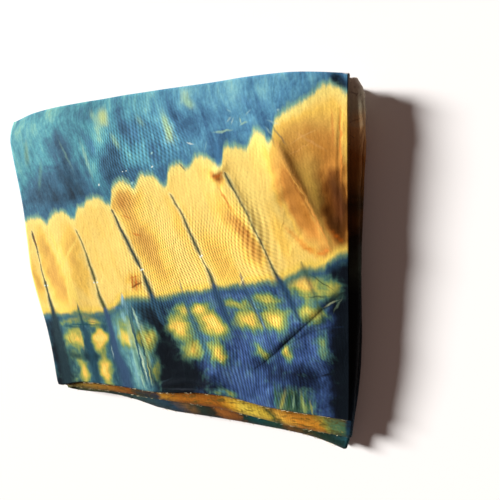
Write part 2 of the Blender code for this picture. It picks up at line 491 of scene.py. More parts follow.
@dataclass(frozen=True)
class Crease:
    """A crease along a line of places on the top face, in centimetres from its front left corner.

    Height and half_width are in millimetres. A valley has low shoulders on both sides.
    """

    line: tuple[tuple[float, float], ...]
    height: float
    half_width: float
    profile: Profile = Profile.VALLEY
    fade: float = 0.18
    shoulder: float = 0.55
    shoulder_reach: float = 2.6

    def lift(self, u: Array, v: Array) -> Array:
        """How far the crease lifts the sheet.

        Args:
            u: places along the face, in centimetres from its left edge.
            v: places across the face, in centimetres from its front edge.

        Returns:
            The lift in metres, below zero in a valley.
        """
        nearest = np.full(np.shape(u), 1e6)
        along = np.zeros(np.shape(u))
        corners = np.array(self.line, float)
        runs = np.diff(corners, axis=0)
        lengths = np.hypot(runs[:, 0], runs[:, 1])
        walked = np.concatenate(([0.0], np.cumsum(lengths)))
        for start, run, length, before in zip(corners, runs, lengths, walked):
            from_u, from_v = u - start[0], v - start[1]
            share = np.clip((from_u * run[0] + from_v * run[1]) / length**2, 0.0, 1.0)
            away = np.hypot(from_u - share * run[0], from_v - share * run[1])
            closer = away < nearest
            nearest = np.where(closer, away, nearest)
            along = np.where(closer, (before + share * length) / walked[-1], along)
        ends = smooth(along / self.fade) * smooth((1.0 - along) / self.fade)
        aside = nearest * 10.0 / self.half_width
        if self.profile is Profile.RIDGE:
            form = np.exp(-(aside**2))
        else:
            shoulders = self.shoulder * np.exp(-((aside / self.shoulder_reach) ** 2))
            form = shoulders - np.exp(-(aside**2))
        return self.height * MM * ends * form


CREASES: tuple[Crease, ...] = (
    Crease(((23.2, 3.9), (24.6, 5.2), (27.0, 7.8), (29.0, 9.9), (30.9, 11.9)), 1.5, 2.2),
    Crease(((25.4, 5.9), (26.6, 7.2), (28.6, 8.5), (31.0, 9.2)), 1.0, 3.0),
    Crease(((26.0, 24.4), (27.5, 21.3), (29.0, 18.4), (30.6, 15.0)), 1.3, 2.6, Profile.RIDGE),
    Crease(((26.6, 20.4), (27.4, 18.4), (28.6, 16.2)), -1.6, 9.0, Profile.RIDGE),
    Crease(((29.6, 23.0), (30.2, 20.4), (30.6, 17.6)), -1.8, 8.0, Profile.RIDGE),
    Crease(((20.6, 21.2), (21.6, 22.0), (22.2, 22.1)), 1.2, 2.4, Profile.RIDGE),
    Crease(((21.4, 21.3), (21.3, 19.9), (22.4, 18.4), (24.0, 16.6)), 1.0, 2.4),
    Crease(((22.0, 21.6), (23.4, 18.8), (25.0, 15.6)), 0.7, 3.0, Profile.RIDGE),
    Crease(((10.4, 19.2), (11.6, 16.6), (13.1, 13.4)), 0.6, 1.8),
    Crease(((16.7, 20.0), (17.9, 17.6), (19.2, 14.3)), 0.5, 1.6),
    Crease(((31.2, 27.0), (31.0, 22.0), (31.1, 16.6)), 0.6, 1.2),
    Crease(((28.8, 3.9), (30.4, 4.6)), 0.7, 2.2),
    Crease(((1.6, 27.4), (1.7, 23.8)), 0.5, 2.0),
    Crease(((5.6, 24.9), (7.5, 20.1)), 0.5, 2.0),
    Crease(((10.7, 8.2), (11.0, 4.6), (11.6, 0.9)), 0.7, 1.8),
    Crease(((11.7, 8.6), (12.0, 5.0), (12.6, 1.2)), 0.6, 1.8),
    Crease(((10.1, 7.0), (10.3, 3.6)), 0.4, 1.6),
    Crease(((11.6, 11.5), (12.9, 12.1)), 0.5, 1.6),
    Crease(((17.4, 6.4), (18.0, 3.6), (18.3, 1.2)), 1.0, 4.0),
    Crease(((12.6, 0.7), (15.8, 1.3), (19.6, 1.0)), 1.2, 3.0, Profile.RIDGE),
    Crease(((14.2, 7.0), (14.8, 4.4), (15.6, 2.2)), -0.8, 9.0, Profile.RIDGE),
)


class Wash(Enum):
    """The soft washes that a dyer adds by the handful, each kept as an attribute of the cloth. The
    deep and the tan washes also hold painted shade, at the right edge and in the hollows beside the
    pinch and the ridge.
    """

    GOLD = "wash_gold"
    PALE = "wash_pale"
    DEEP_AND_SHADE = "wash_deep_and_shade"
    TAN = "wash_tan_and_shade"
    STREAK = "wash_streak"
    RIB = "wash_rib"


@dataclass(frozen=True)
class WashPatch:
    """A soft oval patch on the face, in centimetres, leaning to the right by tilt degrees; most are
    dye, a few are painted shade.
    """

    wash: Wash
    u: float
    v: float
    half_u: float
    half_v: float
    strength: float = 1.0
    tilt: float = 0.0
    firm: float = 2.2

    def cover(self, u: Array, v: Array) -> Array:
        """How strongly the patch colours each place, from 0 outside it.

        Args:
            u: places along the face, in centimetres.
            v: places across it.

        Returns:
            The strength there.
        """
        turn = math.radians(self.tilt)
        from_u, from_v = u - self.u, v - self.v
        over = (from_u * math.cos(turn) - from_v * math.sin(turn)) / self.half_u
        up = (from_u * math.sin(turn) + from_v * math.cos(turn)) / self.half_v
        return self.strength * np.exp(-(np.hypot(over, up) ** self.firm))


def washed(wash: Wash, *rows: tuple[float, ...]) -> tuple[WashPatch, ...]:
    """One wash's patches, from a row of numbers each."""
    return tuple(WashPatch(wash, *row) for row in rows)


@dataclass(frozen=True)
class DyeAndShadeChart:
    """The chart of the patches of dye and of painted shade, over the whole face."""

    wash_patches: tuple[WashPatch, ...] = (
        *washed(
            Wash.GOLD,
            (2.75, 5.4, 0.85, 1.0, 0.54, 20), (3.9, 5.55, 0.85, 1.2, 0.70, 0, 3.0),
            (6.75, 5.75, 0.95, 1.0, 1.10, 0, 3.4), (6.5, 4.6, 0.75, 0.75, 0.80),
            (10.0, 6.05, 0.95, 0.95, 0.85, 0, 2.0), (12.5, 6.2, 0.95, 1.1, 0.76, 0, 2.4),
            (3.85, 1.45, 0.75, 1.5, 0.76), (6.65, 1.6, 0.75, 1.6, 0.98, 0, 2.4),
            (3.0, 2.9, 1.5, 4.4, 0.18), (10.0, 7.4, 1.4, 2.2, 0.30), (6.7, 3.6, 1.1, 4.0, 0.20),
            (12.9, 2.6, 0.55, 1.6, 0.50), (3.9, 7.6, 2.0, 0.40, 0.46), (6.4, 7.6, 1.0, 0.42, 0.62),
            (5.2, 8.35, 1.9, 0.40, 0.42), (16.1, 7.3, 1.25, 1.1, 0.86),
            (18.5, 9.2, 0.85, 0.62, 0.95, -20), (19.5, 7.8, 1.2, 1.0, 1.10, 20),
            (16.7, 9.1, 1.1, 0.45, 0.62), (17.2, 4.9, 1.0, 1.15, 0.66),
            (19.9, 5.0, 0.85, 1.0, 0.86), (18.0, 7.0, 3.2, 3.2, 0.18),
            (21.9, 10.2, 1.5, 0.45, 0.50), (23.0, 8.7, 1.1, 0.95, 0.82),
            (25.5, 9.2, 1.1, 0.85, 0.98), (24.9, 10.9, 1.1, 0.5, 0.66), (25.0, 9.4, 3.0, 1.8, 0.16),
            (28.3, 12.3, 1.4, 1.0, 0.84), (28.7, 10.1, 1.15, 0.75, 0.74),
            (30.4, 12.4, 0.9, 0.9, 0.55), (24.1, 5.9, 0.55, 0.95, 0.56, -25),
            (26.5, 6.1, 0.42, 0.85, 0.72), (26.9, 0.7, 1.9, 2.3, 0.30, 0, 4.0),
            (19.9, 0.4, 1.6, 0.5, 0.36), (29.5, 6.9, 0.7, 1.4, 0.34),
            (10.5, 27.0, 0.7, 1.3, 0.42, 8), (17.1, 25.2, 0.55, 1.1, 0.44, -12),
            (18.6, 27.8, 0.7, 0.7, 0.34),
        ),
        *washed(
            Wash.PALE,
            (9.7, 7.6, 1.0, 1.3, 1.0), (9.6, 5.0, 0.7, 1.8, 0.6),
            (11.4, 4.4, 1.2, 4.8, 0.80, 0, 4.0), (10.6, 10.3, 0.6, 1.3, 0.95),
            (10.2, 2.2, 0.7, 2.4, 0.5), (6.9, 3.6, 0.9, 1.1, 0.45), (1.9, 26.2, 2.2, 1.8, 0.62),
            (0.7, 23.6, 1.0, 2.4, 0.50), (4.4, 27.4, 1.8, 1.1, 0.50), (7.9, 25.6, 1.0, 2.4, 0.50),
            (10.6, 26.7, 1.0, 1.7, 1.05, 8), (12.3, 25.0, 0.7, 1.8, 0.62, -22),
            (17.1, 25.1, 0.75, 1.4, 1.0, -12), (15.4, 26.6, 0.6, 1.8, 0.50, -25),
            (18.5, 27.7, 0.9, 0.8, 0.80), (14.7, 23.8, 0.9, 1.6, 0.42, -30),
            (24.4, 27.3, 1.8, 0.8, 0.40), (9.0, 22.0, 0.6, 2.0, 0.60, 24),
            (21.6, 25.2, 1.1, 0.35, 0.35), (18.2, 8.0, 3.4, 3.0, 0.26), (25.0, 9.6, 3.4, 2.2, 0.22),
            (8.9, 6.6, 0.9, 3.0, 0.45), (11.0, 3.0, 1.8, 4.4, 0.35),
        ),
        *washed(
            Wash.DEEP_AND_SHADE,
            (4.9, 20.9, 4.2, 1.3, 0.90), (4.4, 22.6, 2.2, 1.4, 0.55), (7.4, 21.6, 2.0, 1.3, 0.65),
            (1.2, 20.8, 1.6, 1.3, 0.45), (5.4, 25.2, 1.0, 2.0, 0.34, -20),
            (2.6, 19.2, 1.4, 1.1, 0.60), (6.2, 23.4, 1.5, 2.0, 0.55),
            (10.9, 24.0, 0.9, 1.3, 0.90, 40), (11.2, 22.2, 1.3, 0.7, 0.70),
            (13.2, 25.9, 1.4, 1.8, 0.50, -25), (13.4, 22.0, 1.6, 1.0, 0.50),
            (16.2, 22.4, 1.0, 1.2, 0.40), (18.9, 26.2, 1.2, 1.2, 0.45),
            (21.6, 23.4, 0.8, 1.2, 0.50), (25.6, 25.4, 1.0, 0.8, 0.30),
            (15.2, 1.9, 2.7, 3.2, 1.40, 0, 3.2), (14.4, 4.6, 1.5, 3.0, 1.15, -6, 2.6),
            (14.2, 7.4, 1.0, 2.2, 0.75, -12), (12.8, 9.0, 1.5, 1.3, 0.50),
            (15.0, 9.0, 1.2, 1.0, 0.26), (18.4, 1.2, 1.3, 1.6, 0.60),
            (0.9, 3.6, 1.0, 4.6, 0.85, 0, 3.0), (2.4, 3.4, 1.9, 0.8, 0.85),
            (1.4, 0.2, 2.2, 1.0, 0.80), (5.2, 3.4, 0.8, 1.1, 0.50),
            (26.3, 3.9, 1.5, 0.9, 0.46, 0, 1.7), (25.0, 3.0, 1.0, 1.8, 0.30, 35, 1.8),
            (28.3, 3.2, 1.0, 1.6, 0.34, -35, 1.8), (27.6, 4.9, 1.8, 0.8, 0.24, 40),
            # Painted shade: the two patches below darken the right edge of the top face, where it
            # turns away from the lamp.
            (32.0, 5.0, 1.9, 9.6, 1.30, 0, 4.0), (31.6, 13.0, 1.7, 2.2, 1.10),
            (31.4, 28.2, 0.9, 1.0, 0.80),
        ),
        *washed(
            Wash.TAN,
            (2.2, 14.9, 1.0, 2.9, 0.52, -14, 4.0), (3.2, 11.8, 1.35, 2.2, 0.58, -8, 4.0),
            (5.3, 15.9, 1.05, 2.3, 0.46, -16, 4.0), (6.1, 12.6, 1.0, 2.2, 0.40, -14, 4.0),
            (0.4, 12.4, 0.5, 2.0, 0.50, -10), (11.9, 19.9, 1.5, 1.2, 0.66),
            (13.0, 17.3, 1.0, 3.0, 0.55, -24), (14.7, 13.8, 1.2, 2.8, 0.55, -20),
            (12.3, 12.1, 0.7, 1.3, 0.80, -4), (17.7, 16.6, 0.9, 3.0, 0.30, -22),
            # From here on the tan patches are partly painted shade: brown shade beside the valley
            # below the pinch, and in the hollows on both sides of the ridge at the right.
            (20.9, 14.3, 1.3, 2.8, 0.55, -22), (21.3, 21.4, 0.6, 0.45, 1.30, 30),
            (22.9, 17.0, 0.75, 2.6, 0.85, -38), (24.2, 15.0, 0.8, 1.4, 0.55, -30),
            (26.4, 16.6, 0.9, 2.0, 0.30, -30), (27.6, 23.2, 1.5, 2.4, 0.75, -25),
            (28.6, 24.2, 1.2, 1.8, 0.70, -35), (27.7, 19.4, 1.15, 3.6, 1.05, -25, 3.6),
            (28.6, 17.6, 0.8, 2.2, 0.70, -25, 3.0), (30.2, 23.4, 1.4, 3.0, 0.95),
            (30.9, 19.2, 1.25, 3.7, 1.90, -6, 2.8), (30.0, 15.4, 0.6, 0.8, 0.80),
        ),
        *washed(
            Wash.STREAK,
            (11.3, 4.4, 1.5, 5.4, 1.0, 0, 4.0), (26.9, 1.0, 2.4, 2.6, 0.9, 0, 4.0),
            (12.4, 12.2, 1.0, 1.8, 0.9),
        ),
        *washed(
            Wash.RIB,
            (11.6, 23.9, 2.6, 2.4, 0.9, 30), (14.2, 24.8, 2.4, 2.6, 0.7, -20),
            (17.0, 24.8, 1.4, 2.0, 0.8), (12.8, 19.4, 2.0, 2.2, 0.9),
            (15.4, 14.0, 3.4, 4.2, 1.0, -14, 3.0), (20.0, 14.6, 3.2, 3.2, 0.9),
            (23.8, 16.4, 1.6, 3.2, 0.8, -20), (14.2, 9.4, 3.0, 1.8, 0.9),
            (18.6, 8.0, 3.0, 3.4, 0.8), (24.2, 9.4, 3.2, 3.4, 0.8),
            (23.6, 3.6, 5.4, 4.2, 1.0, 0, 3.0), (28.4, 7.0, 2.4, 3.4, 0.7),
            (12.6, 6.0, 0.9, 2.0, 0.7),
        ),
    )

    def paint(self, mesh: bpy.types.Mesh, u: Array, v: Array) -> None:
        """Keeps each wash's strength as an attribute.

        Args:
            mesh: the sheet, before it is thickened.
            u: how far each vertex lies along the face, in centimetres.
            v: how far it lies across the face, in centimetres.
        """
        bent_u = u + 0.15 * np.sin(1.9 * v + 0.8 * u) + 0.09 * np.sin(4.3 * v - 2.9 * u + 1.0)
        bent_v = v + 0.15 * np.sin(1.7 * u - 0.6 * v + 2.0) + 0.09 * np.sin(4.9 * u + 2.3 * v)
        for wash in Wash:
            covers = [s.cover(bent_u, bent_v) for s in self.wash_patches if s.wash is wash]
            clear = np.prod([1.0 - np.minimum(cover, 0.999) for cover in covers], axis=0)
            strength = np.maximum(1.0 - clear, np.max(covers, axis=0))
            keep(mesh, wash.value, strength)


DAYLIGHT = 1.2
NUDGE = 1e-7
NOISE_SPREAD = 4.0
FACE_REACH, LINE_REACH = (0.0, 30.0), (0.0, 33.0)


@dataclass(frozen=True)
class ClothColour:
    """A colour as it shows on the cloth in daylight, in steps of 255."""

    red: int
    green: int
    blue: int

    def light(self) -> tuple[float, float, float, float]:
        """The colour as the shares of the studio's light that it gives back.

        Returns:
            Red, green, blue and 1.
        """
        steps = [step / 255 for step in (self.red, self.green, self.blue)]
        seen = [s / 12.92 if s <= 0.04045 else ((s + 0.055) / 1.055) ** 2.4 for s in steps]
        red, green, blue = (share / DAYLIGHT for share in seen)
        return (red, green, blue, 1.0)


class Lay(Enum):
    """How a line's colour goes over what is under it."""

    COVER = "MIX"
    SHADE = "MULTIPLY"


Socket = bpy.types.NodeSocket
Value = float | Socket


class NodeSheet:
    """A material's nodes, with each step of the colouring, painted shade included, written as a
    call.
    """

    def __init__(self, name: str) -> None:
        """Starts a material with a bare shader.

        Args:
            name: the material's name.
        """
        self.material = bpy.data.materials.new(name)
        self.material.use_nodes = True
        self.tree = self.material.node_tree
        self.shader = self.tree.nodes["Principled BSDF"]

    def node(self, kind: str, **settings: object) -> bpy.types.Node:
        """A new node.

        Args:
            kind: its kind, without the words that each kind's name begins with.
            settings: its settings, by their names.

        Returns:
            The node.
        """
        node = self.tree.nodes.new("ShaderNode" + kind)
        for name, value in settings.items():
            setattr(node, name, value)
        return node

    def feed(self, socket: Socket, value: Value | tuple[float, ...]) -> None:
        """Links a socket to another one, or sets its own value.

        Args:
            socket: the socket that is fed.
            value: another socket, or a number or a row of numbers.
        """
        if isinstance(value, Socket):
            self.tree.links.new(value, socket)
        else:
            socket.default_value = value

    def attribute(self, name: str) -> Socket:
        """A number kept on the mesh."""
        return self.node("Attribute", attribute_name=name).outputs["Fac"]

    def sum(self, operation: str, first: Value, second: Value = 0.0, third: Value = 0.0) -> Socket:
        """One step of arithmetic.

        Args:
            operation: the name of the Math node's operation.
            first: the first number.
            second: the second number.
            third: the third number, where the operation has one.

        Returns:
            The result.
        """
        node = self.node("Math", operation=operation)
        for socket, value in zip(node.inputs, (first, second, third)):
            self.feed(socket, value)
        return node.outputs[0]

    def times(self, first: Value, second: Value) -> Socket:
        """One number times another."""
        return self.sum("MULTIPLY", first, second)

    def scaled(self, first: Value, second: Value, third: Value) -> Socket:
        """The first number times the second, and the third added."""
        return self.sum("MULTIPLY_ADD", first, second, third)

    def step(self, value: Value, low: Value, high: Value, top: Value = 1.0) -> Socket:
        """A smooth rise from 0 at low to top at high.

        Args:
            value: where the rise is read.
            low: where it starts.
            high: where it ends, above low or below it.
            top: how high it comes.

        Returns:
            The rise's height.
        """
        node = self.node("MapRange", interpolation_type="SMOOTHSTEP")
        for name, number in (("Value", value), ("From Min", low), ("From Max", high)):
            self.feed(node.inputs[name], number)
        self.feed(node.inputs["To Max"], top)
        return node.outputs["Result"]

    def place(self, u: Value, v: Value, height: Value = 0.0) -> Socket:
        """Three numbers as one place.

        Args:
            u: the first number.
            v: the second number.
            height: the third number.

        Returns:
            The place.
        """
        node = self.node("CombineXYZ")
        for socket, value in zip(node.inputs, (u, v, height)):
            self.feed(socket, value)
        return node.outputs[0]

    def grain(
        self, place: Socket, scale: float, detail: float = 2.0, warp: float = 0.0
    ) -> Socket:
        """An even random field from about -1 to 1.

        Args:
            place: where the field is read.
            scale: how many of its patches there are in a centimetre.
            detail: how many finer fields are laid over it.
            warp: how far it twists itself.

        Returns:
            The field.
        """
        node = self.node("TexNoise")
        self.feed(node.inputs["Vector"], place)
        node.inputs["Scale"].default_value = scale
        node.inputs["Detail"].default_value = detail
        node.inputs["Distortion"].default_value = warp
        return self.scaled(node.outputs["Fac"], NOISE_SPREAD, -NOISE_SPREAD / 2)

    def curve(
        self,
        value: Value,
        points: Sequence[tuple[float, float]],
        floor: float = 0.0,
        ceiling: float = 1.0,
    ) -> Socket:
        """A smooth curve through points.

        Args:
            value: where the curve is read.
            points: its points, from the lowest place to the highest.
            floor: the least value that the curve has.
            ceiling: the most that it has.

        Returns:
            The curve's value.
        """
        start, end = points[0][0], points[-1][0]
        share = self.node("MapRange")
        self.feed(share.inputs["Value"], value)
        share.inputs["From Min"].default_value = start
        share.inputs["From Max"].default_value = end
        node = self.node("FloatCurve")
        line = node.mapping.curves[0]
        for _ in points[2:]:
            line.points.new(0.5, 0.5)
        for knot, (along, height) in zip(line.points, points):
            knot.location = ((along - start) / (end - start), (height - floor) / (ceiling - floor))
            knot.handle_type = "AUTO_CLAMPED"
        node.mapping.update()
        self.feed(node.inputs["Value"], share.outputs["Result"])
        return self.scaled(node.outputs["Value"], ceiling - floor, floor)

    def colours(self, value: Value, stops: Sequence[tuple[float, ...]]) -> Socket:
        """A colour that changes along a number.

        Args:
            value: where the row of colours is read.
            stops: its places, each with red, green and blue, from the lowest to the highest.

        Returns:
            The colour.
        """
        start, end = stops[0][0], stops[-1][0]
        share = self.node("MapRange")
        self.feed(share.inputs["Value"], value)
        share.inputs["From Min"].default_value = start
        share.inputs["From Max"].default_value = end
        node = self.node("ValToRGB")
        ramp = node.color_ramp
        for _ in stops[2:]:
            ramp.elements.new(1.0)
        for index, (along, *laid_colour) in enumerate(stops):
            ramp.elements[index].position = (along - start) / (end - start)
            ramp.elements[index].color = ClothColour(*laid_colour).light()
        self.feed(node.inputs["Fac"], share.outputs["Result"])
        return node.outputs["Color"]

    def after(self, place: Socket, colour: Socket) -> Socket:
        """The same place, to be worked out only once the colour is, so that few numbers wait.

        Args:
            place: the place.
            colour: the colour that it waits for.

        Returns:
            The place.
        """
        node = self.node("VectorMath", operation="MULTIPLY_ADD")
        self.feed(node.inputs[0], colour)
        node.inputs[1].default_value = (NUDGE, NUDGE, NUDGE)
        self.feed(node.inputs[2], place)
        return node.outputs["Vector"]

    def oval(
        self,
        place: Socket,
        start: tuple[float, float],
        end: tuple[float, float],
        half_width: float,
    ) -> Socket:
        """How far out from the middle of a long oval a place is.

        Args:
            place: the place.
            start: the oval's first end.
            end: its other end.
            half_width: half its width.

        Returns:
            The share of the way to the oval's edge, where it is 1.
        """
        run_u, run_v = end[0] - start[0], end[1] - start[1]
        node = self.node("Mapping", vector_type="TEXTURE")
        middle = ((start[0] + end[0]) / 2, (start[1] + end[1]) / 2, 0.0)
        node.inputs["Location"].default_value = middle
        node.inputs["Rotation"].default_value = (0.0, 0.0, math.atan2(run_v, run_u))
        node.inputs["Scale"].default_value = (math.hypot(run_u, run_v) / 2, half_width, 1.0)
        self.feed(node.inputs["Vector"], place)
        length = self.node("VectorMath", operation="LENGTH")
        self.feed(length.inputs[0], node.outputs["Vector"])
        return length.outputs["Value"]

    def stain(
        self, share: Value, base: Socket | ClothColour, laid_colour: Socket | ClothColour, lay: Lay = Lay.COVER
    ) -> Socket:
        """One colour laid over another.

        Args:
            share: how much of the second colour shows.
            base: the colour underneath.
            laid_colour: the colour laid over it.
            lay: how it goes over the first one.

        Returns:
            The mixed colour.
        """
        node = self.node("Mix", data_type="RGBA", blend_type=lay.value)
        self.feed(node.inputs["Factor"], share)
        for socket, colour in ((node.inputs[6], base), (node.inputs[7], laid_colour)):
            self.feed(socket, colour.light() if isinstance(colour, ClothColour) else colour)
        return node.outputs[2]


@dataclass(frozen=True)
class PleatAndShadeLine:
    """A line across the face, from the front to the back, in centimetres: mostly a line that a
    pleat left in the cloth, and in two cases painted shade along a crease's valley.

    Each point holds how far across the face it is, how far along, and half the line's width
    there, which is below zero where the line has faded away.
    """

    points: tuple[tuple[float, float, float], ...]
    laid_colour: ClothColour
    strength: float = 1.0
    soft: float = 0.75
    halo: float = 0.0
    in_gold: ClothColour = ClothColour(54, 70, 58)


BELOW, ABOVE, GONE = -3.0, 31.0, -0.3

PLEAT_AND_SHADE_LINES: tuple[PleatAndShadeLine, ...] = (
    PleatAndShadeLine(((0.0, 5.35, 0.44), (3.0, 5.35, 0.52), (5.0, 5.2, 0.42), (6.6, 5.1, 0.36),
               (7.2, 5.05, 0.10), (8.6, 5.0, 0.16), (9.6, 5.0, -0.02), (10.5, 5.0, GONE)),
              ClothColour(38, 76, 94), 0.95, 0.6),
    PleatAndShadeLine(((-2.0, 10.3, GONE), (8.0, 10.8, 0.02), (9.6, 10.6, 0.22), (10.6, 10.5, 0.06),
               (11.4, 10.4, GONE)), ClothColour(112, 158, 172), 0.85, 1.0),
    PleatAndShadeLine(((2.4, 18.9, GONE), (3.6, 18.7, 0.10), (5.5, 18.4, 0.24), (7.5, 17.9, 0.30),
               (9.5, 17.2, 0.26), (11.0, 17.0, 0.10), (12.2, 16.9, 0.0), (13.2, 16.9, GONE)),
              ClothColour(56, 96, 116), 0.8, 1.0),
    PleatAndShadeLine(((4.6, 25.9, GONE), (6.2, 25.4, 0.10), (8.8, 24.3, 0.24), (10.6, 23.5, 0.26),
               (12.1, 22.95, 0.20), (13.2, 22.7, 0.02), (14.0, 22.6, GONE)),
              ClothColour(50, 78, 108), 0.85, 1.0),
    PleatAndShadeLine(((8.0, 30.0, GONE), (9.5, 29.6, 0.2), (11.0, 29.2, 0.25), (13.2, 28.4, 0.28),
               (14.4, 28.0, 0.12), (15.2, 27.8, GONE)), ClothColour(44, 74, 70), 0.7, 1.2),
    PleatAndShadeLine(((0.0, 1.3, 0.85), (4.0, 1.2, 0.78), (7.0, 1.3, 0.72), (8.6, 1.4, 0.46),
               (10.0, 1.4, 0.28), (11.6, 1.4, 0.14), (12.2, 1.38, 0.17), (12.7, 1.32, 0.06),
               (14.5, 1.2, 0.04), (16.0, 1.0, 0.07), (17.3, 0.72, 0.12), (18.0, 0.6, 0.0),
               (18.6, 0.5, GONE)), ClothColour(34, 56, 64), 1.0, 0.7, 0.08),
    PleatAndShadeLine(((0.0, 9.0, 0.85), (2.0, 8.95, 0.85), (4.0, 8.4, 0.62), (6.5, 8.3, 0.42),
               (8.5, 8.2, 0.36), (10.0, 7.95, 0.28), (11.7, 7.75, 0.08), (12.4, 7.65, 0.19),
               (13.6, 7.4, 0.15), (15.2, 7.0, 0.07), (17.2, 6.2, 0.06), (18.0, 5.9, GONE)),
              ClothColour(56, 84, 116), 1.0, 0.7, 0.10, ClothColour(84, 90, 56)),
    PleatAndShadeLine(((6.4, 14.7, GONE), (7.6, 14.45, 0.10), (8.8, 14.2, 0.44), (9.8, 13.95, 0.48),
               (11.0, 13.7, 0.40), (12.4, 13.35, 0.28), (13.3, 13.1, 0.10), (14.2, 12.7, 0.27),
               (16.2, 11.75, 0.24), (18.0, 10.9, 0.17), (19.0, 10.5, 0.08), (19.9, 10.1, GONE)),
              ClothColour(44, 76, 98), 1.0, 0.8, 0.10, ClothColour(40, 62, 60)),
    PleatAndShadeLine(((6.0, 21.8, GONE), (7.4, 21.4, 0.10), (8.6, 21.05, 0.34), (9.8, 20.7, 0.50),
               (11.1, 20.3, 0.44), (12.0, 20.1, 0.26), (13.0, 19.75, 0.17), (14.1, 19.25, 0.06),
               (15.0, 18.9, 0.20), (16.4, 18.3, 0.16), (17.9, 17.75, 0.12), (20.0, 16.7, 0.06),
               (20.7, 16.4, GONE)), ClothColour(46, 74, 104), 1.0, 0.9, 0.10),
    PleatAndShadeLine(((8.6, 27.95, GONE), (9.4, 27.6, 0.20), (10.4, 27.2, 0.30), (12.0, 26.5, 0.40),
               (12.9, 26.0, 0.30), (13.8, 25.6, 0.14), (15.0, 25.1, 0.05), (17.4, 24.0, 0.07),
               (19.7, 22.9, 0.10), (21.0, 22.2, 0.16), (21.7, 21.85, 0.04), (22.4, 21.5, GONE)),
              ClothColour(42, 70, 98), 1.0, 0.9, 0.08),
    # Painted shade: these two dark lines follow the valleys of the two creases at the front right.
    PleatAndShadeLine(((3.0, 22.4, GONE), (4.0, 23.3, 0.05), (5.2, 24.6, 0.12), (7.8, 27.0, 0.14),
               (9.9, 29.0, 0.16), (11.9, 30.9, 0.30), (12.6, 31.6, GONE)),
              ClothColour(8, 14, 24), 0.95, 1.6),
    PleatAndShadeLine(((5.4, 25.2, GONE), (6.2, 25.8, 0.06), (7.2, 26.9, 0.14), (8.3, 28.6, 0.32),
               (8.9, 30.2, 0.40), (9.4, 31.4, GONE)), ClothColour(26, 42, 66), 0.65, 1.6),
)


BROAD_FROM = 0.19


@dataclass(frozen=True)
class Mark:
    """A stroke of colour, a hair line or a speck, from one end to the other, in centimetres; most
    are dye, and some are painted shade and painted highlights.
    """

    start: tuple[float, float]
    end: tuple[float, float]
    half_width: float
    laid_colour: ClothColour
    strength: float = 0.8
    soft: float = 0.7

    @property
    def broad(self) -> bool:
        """Whether the mark is broad enough to be kept at the sheet's own places."""
        return self.half_width >= BROAD_FROM

    def cover(self, u: Array, v: Array) -> Array:
        """How strongly the mark colours each place.

        Args:
            u: places along the face, in centimetres.
            v: places across it.

        Returns:
            The strength there.
        """
        run_u, run_v = self.end[0] - self.start[0], self.end[1] - self.start[1]
        length = math.hypot(run_u, run_v)
        from_u = u - (self.start[0] + self.end[0]) / 2
        from_v = v - (self.start[1] + self.end[1]) / 2
        along = (from_u * run_u + from_v * run_v) / length / (length / 2)
        aside = (from_v * run_u - from_u * run_v) / length / self.half_width
        edge = (1.0 + 0.4 * self.soft - np.hypot(along, aside)) / (1.4 * self.soft)
        return self.strength * smooth(edge)


def stroked(*rows: ClothColour | tuple[float, ...]) -> tuple[Mark, ...]:
    """Marks in the order in which they are laid.

    Args:
        rows: each colour, followed by the strokes in it: both ends, half the width, and the rest.

    Returns:
        The marks.
    """
    found, laid_colour = [], WHITE
    for row in rows:
        if isinstance(row, ClothColour):
            laid_colour = row
        else:
            found.append(Mark(row[:2], row[2:4], row[4], laid_colour, *row[5:]))
    return tuple(found)


BROAD_COLOUR, BROAD_SHARE = "broad_colour", "broad_share"

CREAM, WHITE = ClothColour(255, 238, 160), ClothColour(232, 248, 240)
YELLOW, AMBER = ClothColour(255, 222, 110), ClothColour(240, 164, 70)
DEEP_TEAL, OLIVE = ClothColour(40, 84, 96), ClothColour(128, 152, 92)
# The second of these is also laid as painted shade in a crease valley at the front right.
SMOKE, INK_AND_SHADE = ClothColour(44, 78, 96), ClothColour(14, 22, 34)
LEAF_GREEN, SEA = ClothColour(150, 196, 168), ClothColour(150, 200, 200)
RUST, BROWN = ClothColour(206, 112, 38), ClothColour(120, 62, 18)

